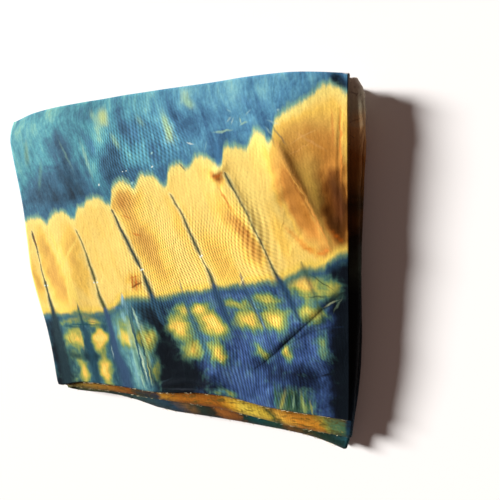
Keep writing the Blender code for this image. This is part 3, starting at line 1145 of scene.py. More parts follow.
MARKS = stroked(
    # The light seams between the leaves of the gold band, with its rims, and a painted highlight
    # along the crest of the ridge at the right.
    YELLOW, (2.6, 18.2, 4.9, 12.6, 0.22, 0.9), (3.6, 13.0, 6.6, 17.0, 0.18, 0.7),
    (4.2, 8.9, 4.9, 13.6, 0.42, 0.9), (5.2, 8.9, 4.8, 12.8, 0.36, 0.9),
    (13.4, 20.6, 17.4, 11.0, 0.30, 0.75), (14.3, 21.0, 15.8, 18.0, 0.25, 0.55),
    (19.2, 21.8, 23.1, 12.4, 0.30, 0.65), (22.0, 20.6, 24.3, 16.6, 0.22, 0.85),
    # Painted highlight: the pale orange lines from (25.9, 24.7) and (27.6, 21.6) run along the
    # crest of the ridge at the right.
    (4.4, 4.2, 4.45, 6.6, 0.16, 0.5), ClothColour(246, 186, 96), (25.9, 24.7, 28.2, 20.3, 0.20, 0.85),
    ClothColour(250, 176, 84), (27.6, 21.6, 30.5, 15.4, 0.12, 0.95), AMBER,
    (26.4, 17.6, 29.4, 14.7, 0.30, 0.75), ClothColour(230, 140, 58), (29.0, 14.9, 30.4, 15.8, 0.20, 0.8),
    AMBER, (25.9, 23.4, 26.6, 17.4, 0.25, 0.45), ClothColour(220, 138, 58),
    (31.15, 26.9, 31.2, 21.0, 0.10, 0.85), ClothColour(214, 140, 64), (30.55, 26.4, 30.6, 23.4, 0.12, 0.6),
    ClothColour(214, 160, 90), (27.6, 24.6, 30.2, 23.2, 0.12, 0.5), ClothColour(222, 172, 100),
    (27.2, 23.6, 29.6, 24.9, 0.07, 0.5), ClothColour(226, 170, 96), (26.4, 22.4, 29.2, 23.9, 0.06, 0.4),
    # Its brown streaks and the pinched knot, and painted shade in brown along the valley below the
    # pinch.
    RUST, (11.8, 11.0, 12.0, 13.0, 0.08, 0.9), (12.25, 10.9, 12.4, 13.3, 0.10, 0.9), BROWN,
    (12.7, 11.2, 12.9, 13.0, 0.06, 0.7), (11.6, 11.5, 13.0, 12.1, 0.12, 0.85), RUST,
    (11.6, 12.4, 12.8, 12.8, 0.08, 0.7), (12.3, 16.9, 13.4, 16.5, 0.12, 0.6),
    (11.4, 18.6, 12.6, 18.2, 0.10, 0.5), (20.8, 21.1, 21.9, 21.9, 0.22, 0.8), ClothColour(196, 120, 44),
    # Painted shade: the two browns from (21.2, 20.6) and (22.2, 18.6) follow the valley below the
    # pinch.
    (21.2, 20.6, 22.4, 18.4, 0.16, 0.8), ClothColour(190, 110, 44), (22.2, 18.6, 24.4, 15.6, 0.20, 0.7),
    BROWN, (0.6, 18.0, 1.15, 16.0, 0.10, 0.85),
    # The light crossings where the tied thread broke each line.
    WHITE, (1.15, 11.9, 1.25, 12.1, 0.10, 0.9), (1.55, 11.85, 1.65, 12.0, 0.10, 0.9),
    (7.5, 11.75, 7.65, 11.9, 0.10, 0.9), (7.85, 11.75, 8.0, 11.95, 0.10, 0.8),
    (12.95, 13.25, 13.35, 13.4, 0.09, 0.9), (19.0, 14.2, 19.35, 14.5, 0.10, 0.85),
    # The blue pinch above the knot, and the fine shadows of the folds behind the band.
    ClothColour(72, 124, 164), (21.4, 21.9, 21.3, 24.6, 0.34, 0.8), SMOKE,
    (25.5, 25.4, 26.2, 23.5, 0.14, 0.5), (26.0, 25.2, 27.1, 23.6, 0.10, 0.5), ClothColour(178, 214, 208),
    (25.6, 25.5, 26.6, 25.1, 0.08, 0.39, 1.0), (25.5, 25.0, 26.0, 24.4, 0.08, 0.39, 1.0), SMOKE,
    (1.8, 27.6, 1.7, 22.6, 0.26, 0.45, 0.9), (5.3, 27.4, 7.0, 21.8, 0.16, 0.4, 0.9),
    (6.4, 23.4, 7.7, 19.8, 0.16, 0.46, 0.9), (7.2, 25.6, 9.0, 21.8, 0.15, 0.34, 0.9),
    ClothColour(148, 196, 178), (8.0, 26.0, 9.0, 21.6, 0.20, 0.8, 0.9), ClothColour(140, 190, 176),
    (5.7, 26.0, 6.9, 22.8, 0.12, 0.31, 0.9), ClothColour(196, 216, 150),
    (10.2, 28.2, 11.3, 26.3, 0.55, 0.75, 0.9), LEAF_GREEN, (9.2, 28.2, 10.3, 26.6, 0.30, 0.6, 0.9),
    (11.3, 26.0, 12.3, 24.2, 0.30, 0.7, 0.9), (14.0, 27.2, 15.0, 25.8, 0.30, 0.5, 0.9),
    ClothColour(172, 208, 160), (16.6, 27.4, 17.4, 24.2, 0.40, 0.75, 0.9), ClothColour(160, 204, 176),
    (18.3, 28.2, 19.9, 26.7, 0.45, 0.7, 0.9), ClothColour(132, 176, 146),
    (2.0, 27.0, 1.2, 24.0, 0.36, 0.5, 0.9), ClothColour(96, 150, 142),
    (3.4, 24.8, 2.2, 21.4, 0.34, 0.6, 0.9), ClothColour(76, 128, 168),
    (13.2, 26.9, 14.4, 24.4, 0.60, 0.6, 0.9), ClothColour(80, 136, 176),
    (8.8, 26.0, 9.7, 23.8, 0.50, 0.6, 0.9), ClothColour(84, 140, 178),
    (18.0, 25.6, 19.6, 24.2, 0.55, 0.5, 0.9), ClothColour(86, 138, 178),
    (22.4, 27.6, 26.4, 26.3, 0.45, 0.5, 0.9), INK_AND_SHADE, (30.3, 28.7, 31.8, 27.7, 0.45, 0.9),
    # White specks, and the petals of a small flower.
    WHITE, (9.4, 21.4, 9.62, 21.5, 0.10, 0.95), (12.05, 22.45, 12.2, 22.5, 0.06, 0.9),
    (12.45, 22.5, 12.62, 22.55, 0.06, 0.9), SEA, (12.8, 21.3, 13.1, 21.5, 0.12, 0.9), WHITE,
    (15.1, 22.5, 15.3, 22.7, 0.09, 0.9), SEA, (15.2, 23.6, 15.5, 23.8, 0.12, 0.8), WHITE,
    (18.7, 24.3, 19.4, 24.1, 0.06, 0.6), SMOKE, (17.6, 22.8, 18.4, 21.9, 0.08, 0.7),
    ClothColour(178, 214, 208), (22.3, 25.6, 22.7, 26.0, 0.10, 0.59, 1.0),
    (22.7, 25.4, 22.9, 25.9, 0.10, 0.59, 1.0), ClothColour(178, 216, 176),
    (21.1, 24.9, 22.8, 25.0, 0.11, 0.56), ClothColour(196, 226, 180), (23.4, 25.9, 23.6, 25.4, 0.06, 0.56),
    ClothColour(178, 216, 176), (23.4, 25.3, 24.1, 25.5, 0.10, 0.5), ClothColour(178, 214, 208),
    (23.9, 25.9, 24.4, 26.4, 0.08, 0.39, 1.0), (22.4, 26.6, 22.8, 26.3, 0.08, 0.33, 1.0),
    (26.4, 26.2, 26.7, 26.1, 0.10, 0.53, 1.0), SEA, (20.3, 23.5, 20.5, 24.3, 0.10, 0.31),
    # The teal border under the band's left part.
    ClothColour(58, 104, 120), (1.9, 8.35, 4.5, 8.05, 0.26, 0.85, 0.9), ClothColour(44, 86, 92),
    (2.0, 7.1, 4.9, 6.8, 0.16, 0.8, 0.9), ClothColour(36, 82, 92), (3.5, 7.2, 6.9, 7.15, 0.11, 0.95),
    ClothColour(44, 84, 98), (6.4, 7.1, 8.4, 7.0, 0.20, 0.8), ClothColour(44, 84, 80),
    (5.6, 7.55, 6.9, 7.35, 0.06, 0.7), OLIVE, (4.5, 8.9, 5.5, 8.4, 0.26, 0.8, 0.9),
    ClothColour(70, 104, 74), (5.0, 9.8, 5.0, 7.3, 0.06, 0.8, 0.9), ClothColour(66, 118, 146),
    (0.0, 8.7, 0.9, 8.2, 0.5, 0.7, 0.9), ClothColour(74, 116, 130), (6.6, 8.2, 7.6, 8.7, 0.20, 0.8, 0.9),
    ClothColour(70, 120, 156), (8.8, 9.0, 10.3, 9.4, 0.24, 0.8, 0.9), ClothColour(40, 70, 66),
    (1.9, 3.5, 4.5, 3.1, 0.50, 0.8, 1.0), ClothColour(54, 94, 96), (2.2, 6.4, 2.0, 0.4, 0.32, 0.6, 1.0),
    # The pale and dark streaks of the pleat at its side.
    ClothColour(150, 196, 214), (10.3, 9.4, 10.5, 10.9, 0.16, 0.9, 0.9), ClothColour(140, 190, 196),
    (10.0, 9.2, 10.2, 7.6, 0.34, 0.8, 1.0), ClothColour(184, 222, 196),
    (11.3, 9.6, 11.9, 6.6, 0.14, 0.8, 0.9), DEEP_TEAL, (10.75, 9.4, 11.25, 5.0, 0.14, 0.95),
    ClothColour(38, 88, 110), (11.1, 6.4, 11.5, 0.2, 0.15, 0.95), ClothColour(34, 78, 92),
    (11.6, 7.0, 12.4, 0.6, 0.09, 0.85), ClothColour(196, 214, 150), (10.9, 6.9, 11.0, 4.2, 0.11, 0.6, 1.0),
    ClothColour(150, 196, 180), (10.4, 8.6, 10.8, 0.6, 0.30, 0.55, 1.0), ClothColour(150, 200, 186),
    (12.0, 7.6, 12.2, 0.4, 0.28, 0.55, 1.0), ClothColour(206, 232, 206),
    (11.35, 5.6, 11.75, 1.0, 0.09, 0.85), ClothColour(214, 228, 150), (11.95, 4.2, 12.1, 0.8, 0.08, 0.8),
    ClothColour(190, 222, 190), (11.0, 2.2, 11.0, 0.6, 0.10, 0.6), ClothColour(132, 184, 190),
    (10.3, 4.0, 10.7, 0.4, 0.18, 0.7, 0.9), ClothColour(120, 176, 170),
    (9.7, 4.4, 10.0, 1.4, 0.20, 0.6, 0.9), ClothColour(156, 204, 176), (9.3, 8.2, 9.2, 5.0, 0.22, 0.7, 1.0),
    ClothColour(96, 150, 170), (8.9, 7.6, 8.7, 5.2, 0.16, 0.7, 1.0), BROWN,
    (3.0, 4.7, 2.75, 5.9, 0.06, 0.7), ClothColour(190, 216, 210), (7.9, 5.0, 7.95, 3.4, 0.08, 0.5, 0.9),
    # The blue pleats between the gold spots to its right, and the fan at the front.
    ClothColour(46, 64, 106), (21.6, 9.8, 22.4, 3.6, 0.55, 0.6, 1.0), CREAM,
    (22.6, 11.9, 23.2, 13.0, 0.07, 0.7), ClothColour(110, 160, 190),
    (23.2, 11.8, 24.9, 7.2, 0.10, 0.5, 0.9), ClothColour(60, 96, 66), (25.1, 3.0, 25.3, 0.0, 0.18, 0.9),
    ClothColour(176, 168, 80), (25.4, -0.6, 26.1, 2.5, 0.18, 0.7, 1.0), ClothColour(52, 92, 58),
    (26.2, 0.0, 26.5, 2.4, 0.16, 0.9), ClothColour(150, 186, 150), (26.7, 0.3, 26.8, 1.9, 0.10, 0.7),
    ClothColour(22, 48, 44), (27.1, 0.0, 27.0, 2.5, 0.18, 0.9), ClothColour(170, 190, 104),
    (27.9, -0.6, 27.4, 2.5, 0.18, 0.7, 1.0), ClothColour(56, 96, 64), (28.2, 0.1, 27.9, 2.0, 0.12, 0.85),
    ClothColour(170, 172, 88), (28.6, -0.6, 28.2, 1.6, 0.12, 0.6), ClothColour(90, 160, 150),
    (24.9, 0.2, 25.2, 1.6, 0.12, 0.6), ClothColour(52, 84, 66), (26.8, -2.4, 26.9, 2.9, 1.7, 0.8, 0.95),
    # Painted shade: the dark lines from (28.9, 4.0) and (29.4, 9.9) lie in crease valleys at the
    # front right, and the pale line from (29.6, 10.6) is a painted highlight on the crest beside
    # them.
    INK_AND_SHADE, (28.9, 4.0, 30.8, 4.8, 0.16, 0.9, 1.0), ClothColour(36, 50, 44),
    (29.4, 9.9, 31.0, 12.6, 0.22, 0.7, 1.0), ClothColour(176, 186, 150),
    (29.6, 10.6, 30.9, 11.5, 0.08, 0.6, 0.9), ClothColour(120, 142, 120),
    (30.4, 10.2, 31.2, 11.8, 0.08, 0.5, 0.9), ClothColour(40, 56, 50),
    (28.2, 11.4, 30.2, 11.7, 0.09, 0.7, 0.9), ClothColour(30, 40, 36),
    (28.6, 13.4, 30.6, 12.2, 0.08, 0.7, 0.9), ClothColour(96, 158, 170),
    (18.9, 0.9, 20.6, 0.3, 0.30, 0.6, 1.0), ClothColour(60, 66, 76),
    (13.2, 0.5, 17.6, 0.35, 0.12, 0.5, 1.0), ClothColour(46, 62, 72),
    (12.4, 0.9, 14.4, 1.7, 0.10, 0.5, 1.0), ClothColour(214, 214, 140), (17.4, 4.1, 17.6, 4.3, 0.08, 0.6),
    ClothColour(236, 232, 170), (19.9, 3.8, 20.1, 4.1, 0.08, 0.8),
    # The hollows on both sides of the ridge at the right, brown with dye and darkened with painted
    # shade, with their rims; a painted highlight along the ridge's crest and painted shade at its
    # foot; and the last streaks.
    ClothColour(136, 84, 22), (27.5, 20.6, 29.3, 16.5, 0.75, 0.62, 1.0), ClothColour(126, 72, 22),
    (29.3, 21.8, 30.7, 18.0, 0.85, 0.62, 1.0), ClothColour(88, 46, 16),
    (30.8, 21.0, 31.2, 17.4, 0.50, 0.7, 1.0), ClothColour(184, 124, 42),
    (27.8, 23.6, 31.0, 23.2, 0.95, 0.42, 1.0), ClothColour(232, 132, 26),
    (27.9, 15.6, 30.1, 15.3, 0.22, 0.6, 1.0), ClothColour(216, 108, 20),
    (30.1, 17.5, 31.6, 16.1, 0.20, 0.7, 1.0), ClothColour(246, 184, 88),
    (26.3, 23.2, 29.9, 17.3, 0.05, 0.7, 1.0), ClothColour(120, 70, 20),
    (26.7, 22.2, 29.8, 17.0, 0.10, 0.5, 1.0), ClothColour(110, 164, 134),
    (10.7, 9.0, 11.0, 1.0, 0.24, 0.5, 1.0), ClothColour(168, 186, 84),
    (11.9, 8.4, 12.3, 0.8, 0.22, 0.5, 1.0), ClothColour(190, 200, 104),
    (11.4, 5.2, 11.5, 0.8, 0.20, 0.45, 1.0), ClothColour(208, 216, 140),
    (10.8, 8.3, 10.8, 5.4, 0.50, 0.55, 1.0), ClothColour(196, 206, 108),
    (12.0, 8.0, 12.2, 5.0, 0.34, 0.5, 1.0), ClothColour(30, 66, 74), (3.0, 3.4, 7.6, 3.5, 0.45, 0.45, 1.0),
    ClothColour(16, 44, 58), (11.1, 8.4, 11.3, 3.6, 0.10, 0.7, 1.0), ClothColour(26, 48, 78),
    (14.6, 11.0, 14.9, 6.6, 0.16, 0.5, 1.0),
)

BAND_FRONT: tuple[tuple[float, float], ...] = (
    (-1.0, 8.9), (1.4, 8.9), (3.0, 8.5), (5.0, 8.75), (6.5, 8.65), (9.0, 9.25), (10.5, 10.4),
    (12.0, 10.6), (15.0, 10.7), (17.0, 11.05), (18.5, 11.15), (21.0, 11.75), (24.0, 12.5),
    (26.5, 13.0), (28.0, 13.9), (29.5, 14.2), (30.6, 15.2), (33.0, 16.4),
)

BAND_BACK: tuple[tuple[float, float], ...] = (
    (-1.0, 18.5), (0.8, 19.0), (1.9, 18.7), (2.65, 18.0), (3.2, 18.6), (4.0, 18.95), (5.0, 18.9),
    (6.0, 18.1), (6.6, 19.1), (7.3, 19.25), (7.9, 19.95), (8.9, 20.0), (9.7, 19.6), (10.25, 19.3),
    (10.7, 20.6), (11.8, 21.35), (12.6, 21.15), (13.0, 20.75), (13.9, 21.65), (15.2, 21.5),
    (16.2, 20.55), (16.8, 22.0), (17.9, 22.25), (18.5, 21.8), (19.5, 22.85), (20.6, 22.5),
    (21.5, 21.9), (22.0, 23.4), (22.8, 23.5), (23.7, 23.15), (24.7, 24.5), (25.3, 24.2),
    (25.8, 23.6), (26.2, 25.1), (27.4, 26.0), (28.2, 26.3), (29.2, 27.1), (30.4, 27.6),
    (31.6, 27.1), (33.0, 26.8),
)


class Spot(NamedTuple):
    """A place on the face: how far along it, how far across it, and both, a field for each ply."""

    u: Socket
    v: Socket
    place: Socket


@dataclass(frozen=True)
class DyedCotton:
    """Smooth woven cotton, tied in pleats and dyed in gold, teal and navy, with painted shade and
    highlights over some of its creases, hollows and edges.
    """

    roughness: float = 0.62
    sheen: float = 0.025
    gloss: float = 0.05
    threads_per_cm: float = 22.0
    marks_at_once: int = 10
    line_spread: float = 0.035
    ply_shift: float = 0.05
    ribs_per_cm: float = 3.5
    cross_ribs_per_cm: float = 2.9
    rib_tints: tuple[float, float, float] = (0.27, 0.32, 0.36)
    sheen_spread: float = 0.4
    bump_strength: float = 0.35
    bump_depth: float = 0.3 * MM
    strip_plies: tuple[float, float] = (11.8, 11.2)
    base_plies: tuple[float, float] = (8.6, 7.4)
    wall_plies: tuple[float, float] = (12.8, 12.2)
    wall_start: tuple[float, float] = (31.2, 31.6)

    def material(self) -> bpy.types.Material:
        """The cloth's finish.

        Returns:
            The material, which reads the places and washes kept on the sheet.
        """
        sheet = NodeSheet("dyed_cotton")
        u, v = sheet.attribute("face_u"), sheet.attribute("face_v")
        at = Spot(u, v, sheet.place(u, v, sheet.times(sheet.attribute("ply"), self.ply_shift)))
        past_back = sheet.sum("SUBTRACT", sheet.curve(u, BAND_BACK, *FACE_REACH), v)
        past_front = sheet.sum("SUBTRACT", v, sheet.curve(u, BAND_FRONT, *FACE_REACH))
        cloth = self.band(sheet, at, past_back, past_front)
        inside = sheet.sum("MINIMUM", past_back, past_front)
        cloth = self.pleats(sheet, at, cloth, inside)
        cloth = self.broad_marks(sheet, at, cloth)
        cloth = self.fine_marks(sheet, at, cloth)
        cloth = self.lower_plies(sheet, at, cloth)
        cloth = self.weave(sheet, at, cloth)
        sheet.feed(sheet.shader.inputs["Base Color"], cloth)
        sheet.shader.inputs["Metallic"].default_value = 0.0
        sheet.shader.inputs["Sheen Weight"].default_value = self.sheen
        sheet.shader.inputs["Sheen Roughness"].default_value = self.sheen_spread
        sheet.shader.inputs["Specular IOR Level"].default_value = self.gloss
        return sheet.material

    def back_ground(self, sheet: NodeSheet, at: Spot) -> Socket:
        """The mottled teal and blue behind the gold band.

        Args:
            sheet: the finish's nodes.
            at: the place that is coloured.

        Returns:
            The colour.
        """
        u, v, place = at
        lean = sheet.scaled(v, 0.36, u)
        streaks = sheet.grain(sheet.place(lean, sheet.times(v, 0.22)), 0.9, 5.0, 0.6)
        hairs = sheet.grain(sheet.place(lean, sheet.times(v, 0.16)), 3.4, 4.0, 0.3)
        tone = sheet.scaled(sheet.grain(place, 0.42, 6.0, 0.9), 0.42, -0.18)
        tone = sheet.scaled(streaks, 0.36, tone)
        tone = sheet.scaled(hairs, 0.20, tone)
        tone = sheet.scaled(sheet.grain(place, 3.2, 3.0), 0.15, tone)
        tone = sheet.sum("ADD", tone, sheet.step(v, 26.0, 29.0, 0.30))
        tone = sheet.scaled(sheet.attribute(Wash.PALE.value), 0.60, tone)
        tone = sheet.scaled(sheet.attribute(Wash.DEEP_AND_SHADE.value), -0.85, tone)
        left = sheet.colours(tone, (
            (-1.5, 22, 42, 58), (-1.0, 42, 78, 102), (-0.55, 60, 106, 134), (-0.15, 72, 136, 156),
            (0.15, 88, 164, 178), (0.5, 120, 190, 188), (0.9, 164, 212, 182), (1.3, 200, 230, 190),
        ))
        right = sheet.colours(tone, (
            (-1.5, 24, 44, 66), (-1.0, 44, 80, 112), (-0.55, 66, 110, 148), (-0.15, 86, 144, 178),
            (0.15, 104, 166, 194), (0.5, 128, 190, 204), (0.9, 164, 214, 206), (1.3, 204, 232, 210),
        ))
        ground = sheet.stain(sheet.step(u, 8.0, 22.0), left, right)
        gold = sheet.scaled(hairs, 0.10, sheet.attribute(Wash.GOLD.value))
        return sheet.stain(sheet.step(gold, 0.1, 0.6, 0.62), ground, ClothColour(204, 222, 150))

    def front_ground(self, sheet: NodeSheet, at: Spot) -> Socket:
        """The blue in front of the gold band, with its gold and olive patches, and painted shade at
        the right edge.

        Args:
            sheet: the finish's nodes.
            at: the place that is coloured.

        Returns:
            The colour.
        """
        u, v, place = at
        clouds = sheet.grain(place, 0.5, 5.0, 0.6)
        upright = sheet.place(u, sheet.times(v, 0.10))
        fine = sheet.grain(upright, 3.6, 4.0)
        hairs = sheet.grain(sheet.place(u, sheet.times(v, 0.35)), 2.2, 4.0, 0.5)
        streak = sheet.times(sheet.attribute(Wash.STREAK.value), fine)
        tone = sheet.times(clouds, 0.32)
        tone = sheet.scaled(hairs, 0.22, tone)
        tone = sheet.scaled(sheet.grain(place, 3.2, 3.0), 0.12, tone)
        tone = sheet.scaled(streak, 0.40, tone)
        tone = sheet.scaled(sheet.attribute(Wash.PALE.value), 0.90, tone)
        # The deep wash darkens the blue to navy, and at the right edge it is painted shade.
        tone = sheet.scaled(sheet.attribute(Wash.DEEP_AND_SHADE.value), -1.25, tone)
        left = sheet.colours(tone, (
            (-1.3, 10, 16, 24), (-0.85, 20, 36, 48), (-0.4, 34, 62, 76), (-0.1, 46, 84, 100),
            (0.15, 62, 106, 122), (0.5, 92, 146, 156), (0.85, 142, 194, 178), (1.3, 200, 230, 200),
        ))
        right = sheet.colours(tone, (
            (-1.3, 8, 12, 22), (-0.85, 18, 26, 44), (-0.4, 36, 54, 88), (-0.1, 52, 76, 122),
            (0.15, 70, 98, 148), (0.5, 100, 140, 174), (0.85, 146, 192, 190), (1.3, 206, 228, 204),
        ))
        base = sheet.stain(sheet.step(u, 12.0, 19.0), left, right)
        gold = sheet.times(sheet.grain(place, 0.9, 5.0, 0.8), 0.16)
        gold = sheet.scaled(hairs, 0.09, gold)
        gold = sheet.scaled(streak, 0.16, gold)
        gold = sheet.sum("ADD", gold, sheet.attribute(Wash.GOLD.value))
        tone = sheet.colours(gold, (
            (0.05, 64, 106, 108), (0.25, 86, 130, 112), (0.42, 132, 152, 88), (0.62, 190, 184, 88),
            (0.85, 252, 206, 94), (1.15, 255, 234, 122),
        ))
        spot = sheet.stain(sheet.step(gold, 0.0, 0.36), base, tone)
        # Where the deep wash is strong the cloth goes nearly black: navy dye, and painted shade at
        # the right edge.
        deep_and_shade = sheet.scaled(clouds, 0.15, sheet.attribute(Wash.DEEP_AND_SHADE.value))
        spot = sheet.stain(sheet.step(deep_and_shade, 0.35, 1.3, 0.95), spot, ClothColour(12, 20, 28))
        return spot

    def band(self, sheet: NodeSheet, at: Spot, past_back: Socket, past_front: Socket) -> Socket:
        """Sets the gold band between the two grounds, with the bleeding edges of tied cloth.

        Args:
            sheet: the finish's nodes.
            at: the place that is coloured.
            past_back: how far in front of the band's back edge it is.
            past_front: how far behind the band's front edge it is.

        Returns:
            The cloth's colour before its pleat lines.
        """
        u, v, place = at
        back = self.back_ground(sheet, at)
        front = self.front_ground(sheet, at)
        hairs = sheet.grain(sheet.place(u, sheet.times(v, 0.16)), 3.8, 5.0)
        wander = sheet.times(sheet.grain(place, 1.1, 4.0), 0.15)
        shift = sheet.scaled(hairs, 0.19, wander)
        from_back = sheet.sum("ADD", past_back, shift)
        shift = sheet.scaled(hairs, 0.12, wander)
        from_front = sheet.sum("ADD", past_front, shift)
        band = self.band_ground(sheet, at)
        back = sheet.stain(sheet.step(from_back, -1.6, -0.5, 0.45), back, ClothColour(54, 98, 132))
        back = sheet.stain(sheet.step(from_back, -0.85, -0.30, 0.8), back, ClothColour(138, 184, 152))
        cloth = sheet.stain(sheet.step(from_back, -0.45, 0.06), back, ClothColour(254, 230, 130))
        cloth = sheet.stain(sheet.step(from_back, 0.0, 0.8), cloth, band)
        front = sheet.stain(sheet.step(from_front, -1.5, -0.3, 0.6), front, ClothColour(52, 92, 118))
        front = sheet.stain(sheet.step(from_front, -0.75, -0.12, 0.9), front, ClothColour(112, 144, 104))
        rim = sheet.stain(sheet.step(from_front, -0.36, 0.24), front, ClothColour(250, 214, 96))
        rim = sheet.stain(sheet.step(from_front, 0.1, 0.9), rim, band)
        middle = sheet.step(sheet.sum("SUBTRACT", from_back, from_front), 3.0, -3.0)
        return sheet.stain(middle, rim, cloth)

    def band_ground(self, sheet: NodeSheet, at: Spot) -> Socket:
        """The gold of the band, with its richer and browner patches, and painted shade in brown in
        the hollows beside the pinch and the ridge.

        Args:
            sheet: the finish's nodes.
            at: the place that is coloured.

        Returns:
            The colour.
        """
        u, v, place = at
        lean = sheet.scaled(v, 0.34, u)
        folds = sheet.grain(sheet.place(lean, sheet.times(v, 0.12)), 0.7, 4.0, 0.3)
        fine = sheet.grain(sheet.place(u, sheet.times(v, 0.2)), 2.8, 3.0, 0.3)
        tan_and_shade = sheet.scaled(folds, 0.16, sheet.attribute(Wash.TAN.value))
        tan_and_shade = sheet.scaled(sheet.grain(place, 0.35, 4.0, 0.6), 0.10, tan_and_shade)
        streak = sheet.times(sheet.attribute(Wash.STREAK.value), fine)
        tan_and_shade = sheet.scaled(streak, 0.4, tan_and_shade)
        # The darkest brown at the end of this row is reached only in the painted shade of the
        # hollow right of the ridge.
        return sheet.colours(tan_and_shade, (
            (-0.35, 255, 228, 128), (0.0, 255, 220, 120), (0.3, 252, 206, 94), (0.62, 222, 172, 82),
            (0.95, 196, 134, 58), (1.35, 120, 72, 26), (1.9, 58, 30, 10),
        ))

    def pleats(self, sheet: NodeSheet, at: Spot, cloth: Socket, inside: Socket) -> Socket:
        """Lays the pleat lines and the painted shade of two creases over the cloth, with the uneven
        edges of a stitched tie.

        Args:
            sheet: the finish's nodes.
            at: the place that is coloured.
            cloth: the colour under the lines.
            inside: how far inside the gold band the place is.

        Returns:
            The colour with the lines.
        """
        u, v, place = at
        in_band = sheet.step(inside, 0.0, 0.5)
        shake = sheet.grain(sheet.place(0.0, v), 0.9, 3.0)
        stitch = sheet.times(sheet.grain(place, 5.0, 2.0), 0.035)
        uneven = sheet.grain(sheet.place(3.7, v, sheet.times(u, 0.4)), 1.3, 3.0)
        broken = sheet.scaled(uneven, 0.05, stitch)
        for line in PLEAT_AND_SHADE_LINES:
            start, end = (BELOW, *line.points[0][1:]), (ABOVE, line.points[-1][1], GONE)
            knots = (start, *line.points, end)
            middle = sheet.curve(v, [(knot[0], knot[1]) for knot in knots], *LINE_REACH)
            half = sheet.curve(v, [(knot[0], knot[2]) for knot in knots], GONE, 1.0)
            spread = sheet.scaled(in_band, self.line_spread, broken)
            half = sheet.sum("ADD", half, spread if line.halo else broken)
            away = sheet.sum("SUBTRACT", sheet.scaled(shake, 0.05, u), middle)
            out = sheet.sum("SUBTRACT", half, sheet.sum("ABSOLUTE", away))
            soft = sheet.scaled(sheet.sum("MAXIMUM", half, 0.0), line.soft, 0.05)
            low = sheet.times(soft, -0.5)
            if line.halo:
                share = sheet.step(out, -2.4 * line.halo, -0.4 * line.halo, 0.55)
                cloth = sheet.stain(sheet.times(share, in_band), cloth, CREAM)
            laid_colour = sheet.stain(in_band, line.laid_colour, line.in_gold) if line.halo else line.laid_colour
            cloth = sheet.stain(sheet.step(out, low, soft, line.strength), cloth, laid_colour)
        return cloth

    def broad_marks(self, sheet: NodeSheet, at: Spot, cloth: Socket) -> Socket:
        """Lays the broad strokes kept on the sheet over the cloth, with ragged edges; among them
        are painted shade in hollows and creases and a painted highlight on the ridge at the right.

        Args:
            sheet: the finish's nodes.
            at: the place that is coloured.
            cloth: the colour so far.

        Returns:
            The colour with the strokes.
        """
        share = sheet.attribute(BROAD_SHARE)
        laid_colour = sheet.node("VectorMath", operation="SCALE")
        paint = sheet.node("Attribute", attribute_name=BROAD_COLOUR)
        sheet.feed(laid_colour.inputs[0], paint.outputs["Vector"])
        over = sheet.sum("DIVIDE", 1.0, sheet.sum("MAXIMUM", share, 0.01))
        sheet.feed(laid_colour.inputs["Scale"], over)
        ragged = sheet.scaled(sheet.grain(at.place, 1.3, 5.0, 0.6), 0.34, 1.0)
        ragged = sheet.times(share, ragged)
        return sheet.stain(sheet.step(ragged, 0.02, 0.98), cloth, laid_colour.outputs["Vector"])

    def fine_marks(self, sheet: NodeSheet, at: Spot, cloth: Socket) -> Socket:
        """Lays the fine strokes and specks over the cloth, a few at a time, among them painted
        highlights along the ridge at the right and painted shade along creases.

        Args:
            sheet: the finish's nodes.
            at: the place that is coloured.
            cloth: the colour so far.

        Returns:
            The colour with the strokes.
        """
        u, v = at.u, at.v
        flat = sheet.place(u, v)
        aside = sheet.times(sheet.grain(flat, 1.4, 3.0), 0.09)
        across = sheet.times(sheet.grain(sheet.place(v, u), 1.4, 3.0), 0.09)
        shaken = sheet.place(sheet.sum("ADD", u, aside), sheet.sum("ADD", v, across))
        for index, mark in enumerate(mark for mark in MARKS if not mark.broad):
            if index % self.marks_at_once == 0:
                shaken = sheet.after(shaken, cloth)
            out = sheet.oval(shaken, mark.start, mark.end, mark.half_width)
            share = sheet.step(out, 1.0 + 0.4 * mark.soft, 1.0 - mark.soft, mark.strength)
            cloth = sheet.stain(share, cloth, mark.laid_colour)
        return cloth

    def lower_plies(self, sheet: NodeSheet, at: Spot, cloth: Socket) -> Socket:
        """Colours the edges of the lower plies that show in front and at the right, with a painted
        shadow under the top ply.

        Args:
            sheet: the finish's nodes.
            at: the place that is coloured.
            cloth: the colour so far.

        Returns:
            The colour with the edges.
        """
        u, v, place = at
        ply = sheet.attribute("ply")
        uneven = sheet.grain(place, 0.9, 5.0, 0.8)
        slanted = sheet.scaled(v, 0.7, sheet.times(uneven, 0.6))
        along = sheet.sum("ADD", u, slanted)
        strip = sheet.colours(along, (
            (0.0, 96, 108, 62), (2.0, 150, 134, 56), (4.4, 176, 130, 48), (7.0, 170, 106, 36),
            (8.6, 150, 84, 28), (9.5, 34, 58, 60), (11.6, 30, 52, 70), (12.4, 196, 138, 42),
            (14.2, 172, 104, 30), (18.6, 150, 88, 26), (19.7, 212, 158, 46), (21.0, 224, 196, 74),
            (23.0, 206, 176, 60), (23.9, 62, 78, 40), (24.7, 222, 170, 66), (26.0, 206, 132, 40),
            (27.8, 198, 134, 42), (28.9, 150, 148, 62), (29.8, 78, 112, 78), (31.6, 58, 96, 76),
            (32.2, 9, 13, 22),
        ))
        stretched = sheet.place(sheet.times(u, 0.6), sheet.times(v, 1.6), ply)
        mottled = sheet.grain(stretched, 1.5, 6.0, 1.2)
        strip = sheet.stain(sheet.step(mottled, -0.1, 0.7, 0.8), strip, ClothColour(84, 76, 32))
        strip = sheet.stain(sheet.step(mottled, -0.3, -1.2, 0.5), strip, ClothColour(236, 190, 84))
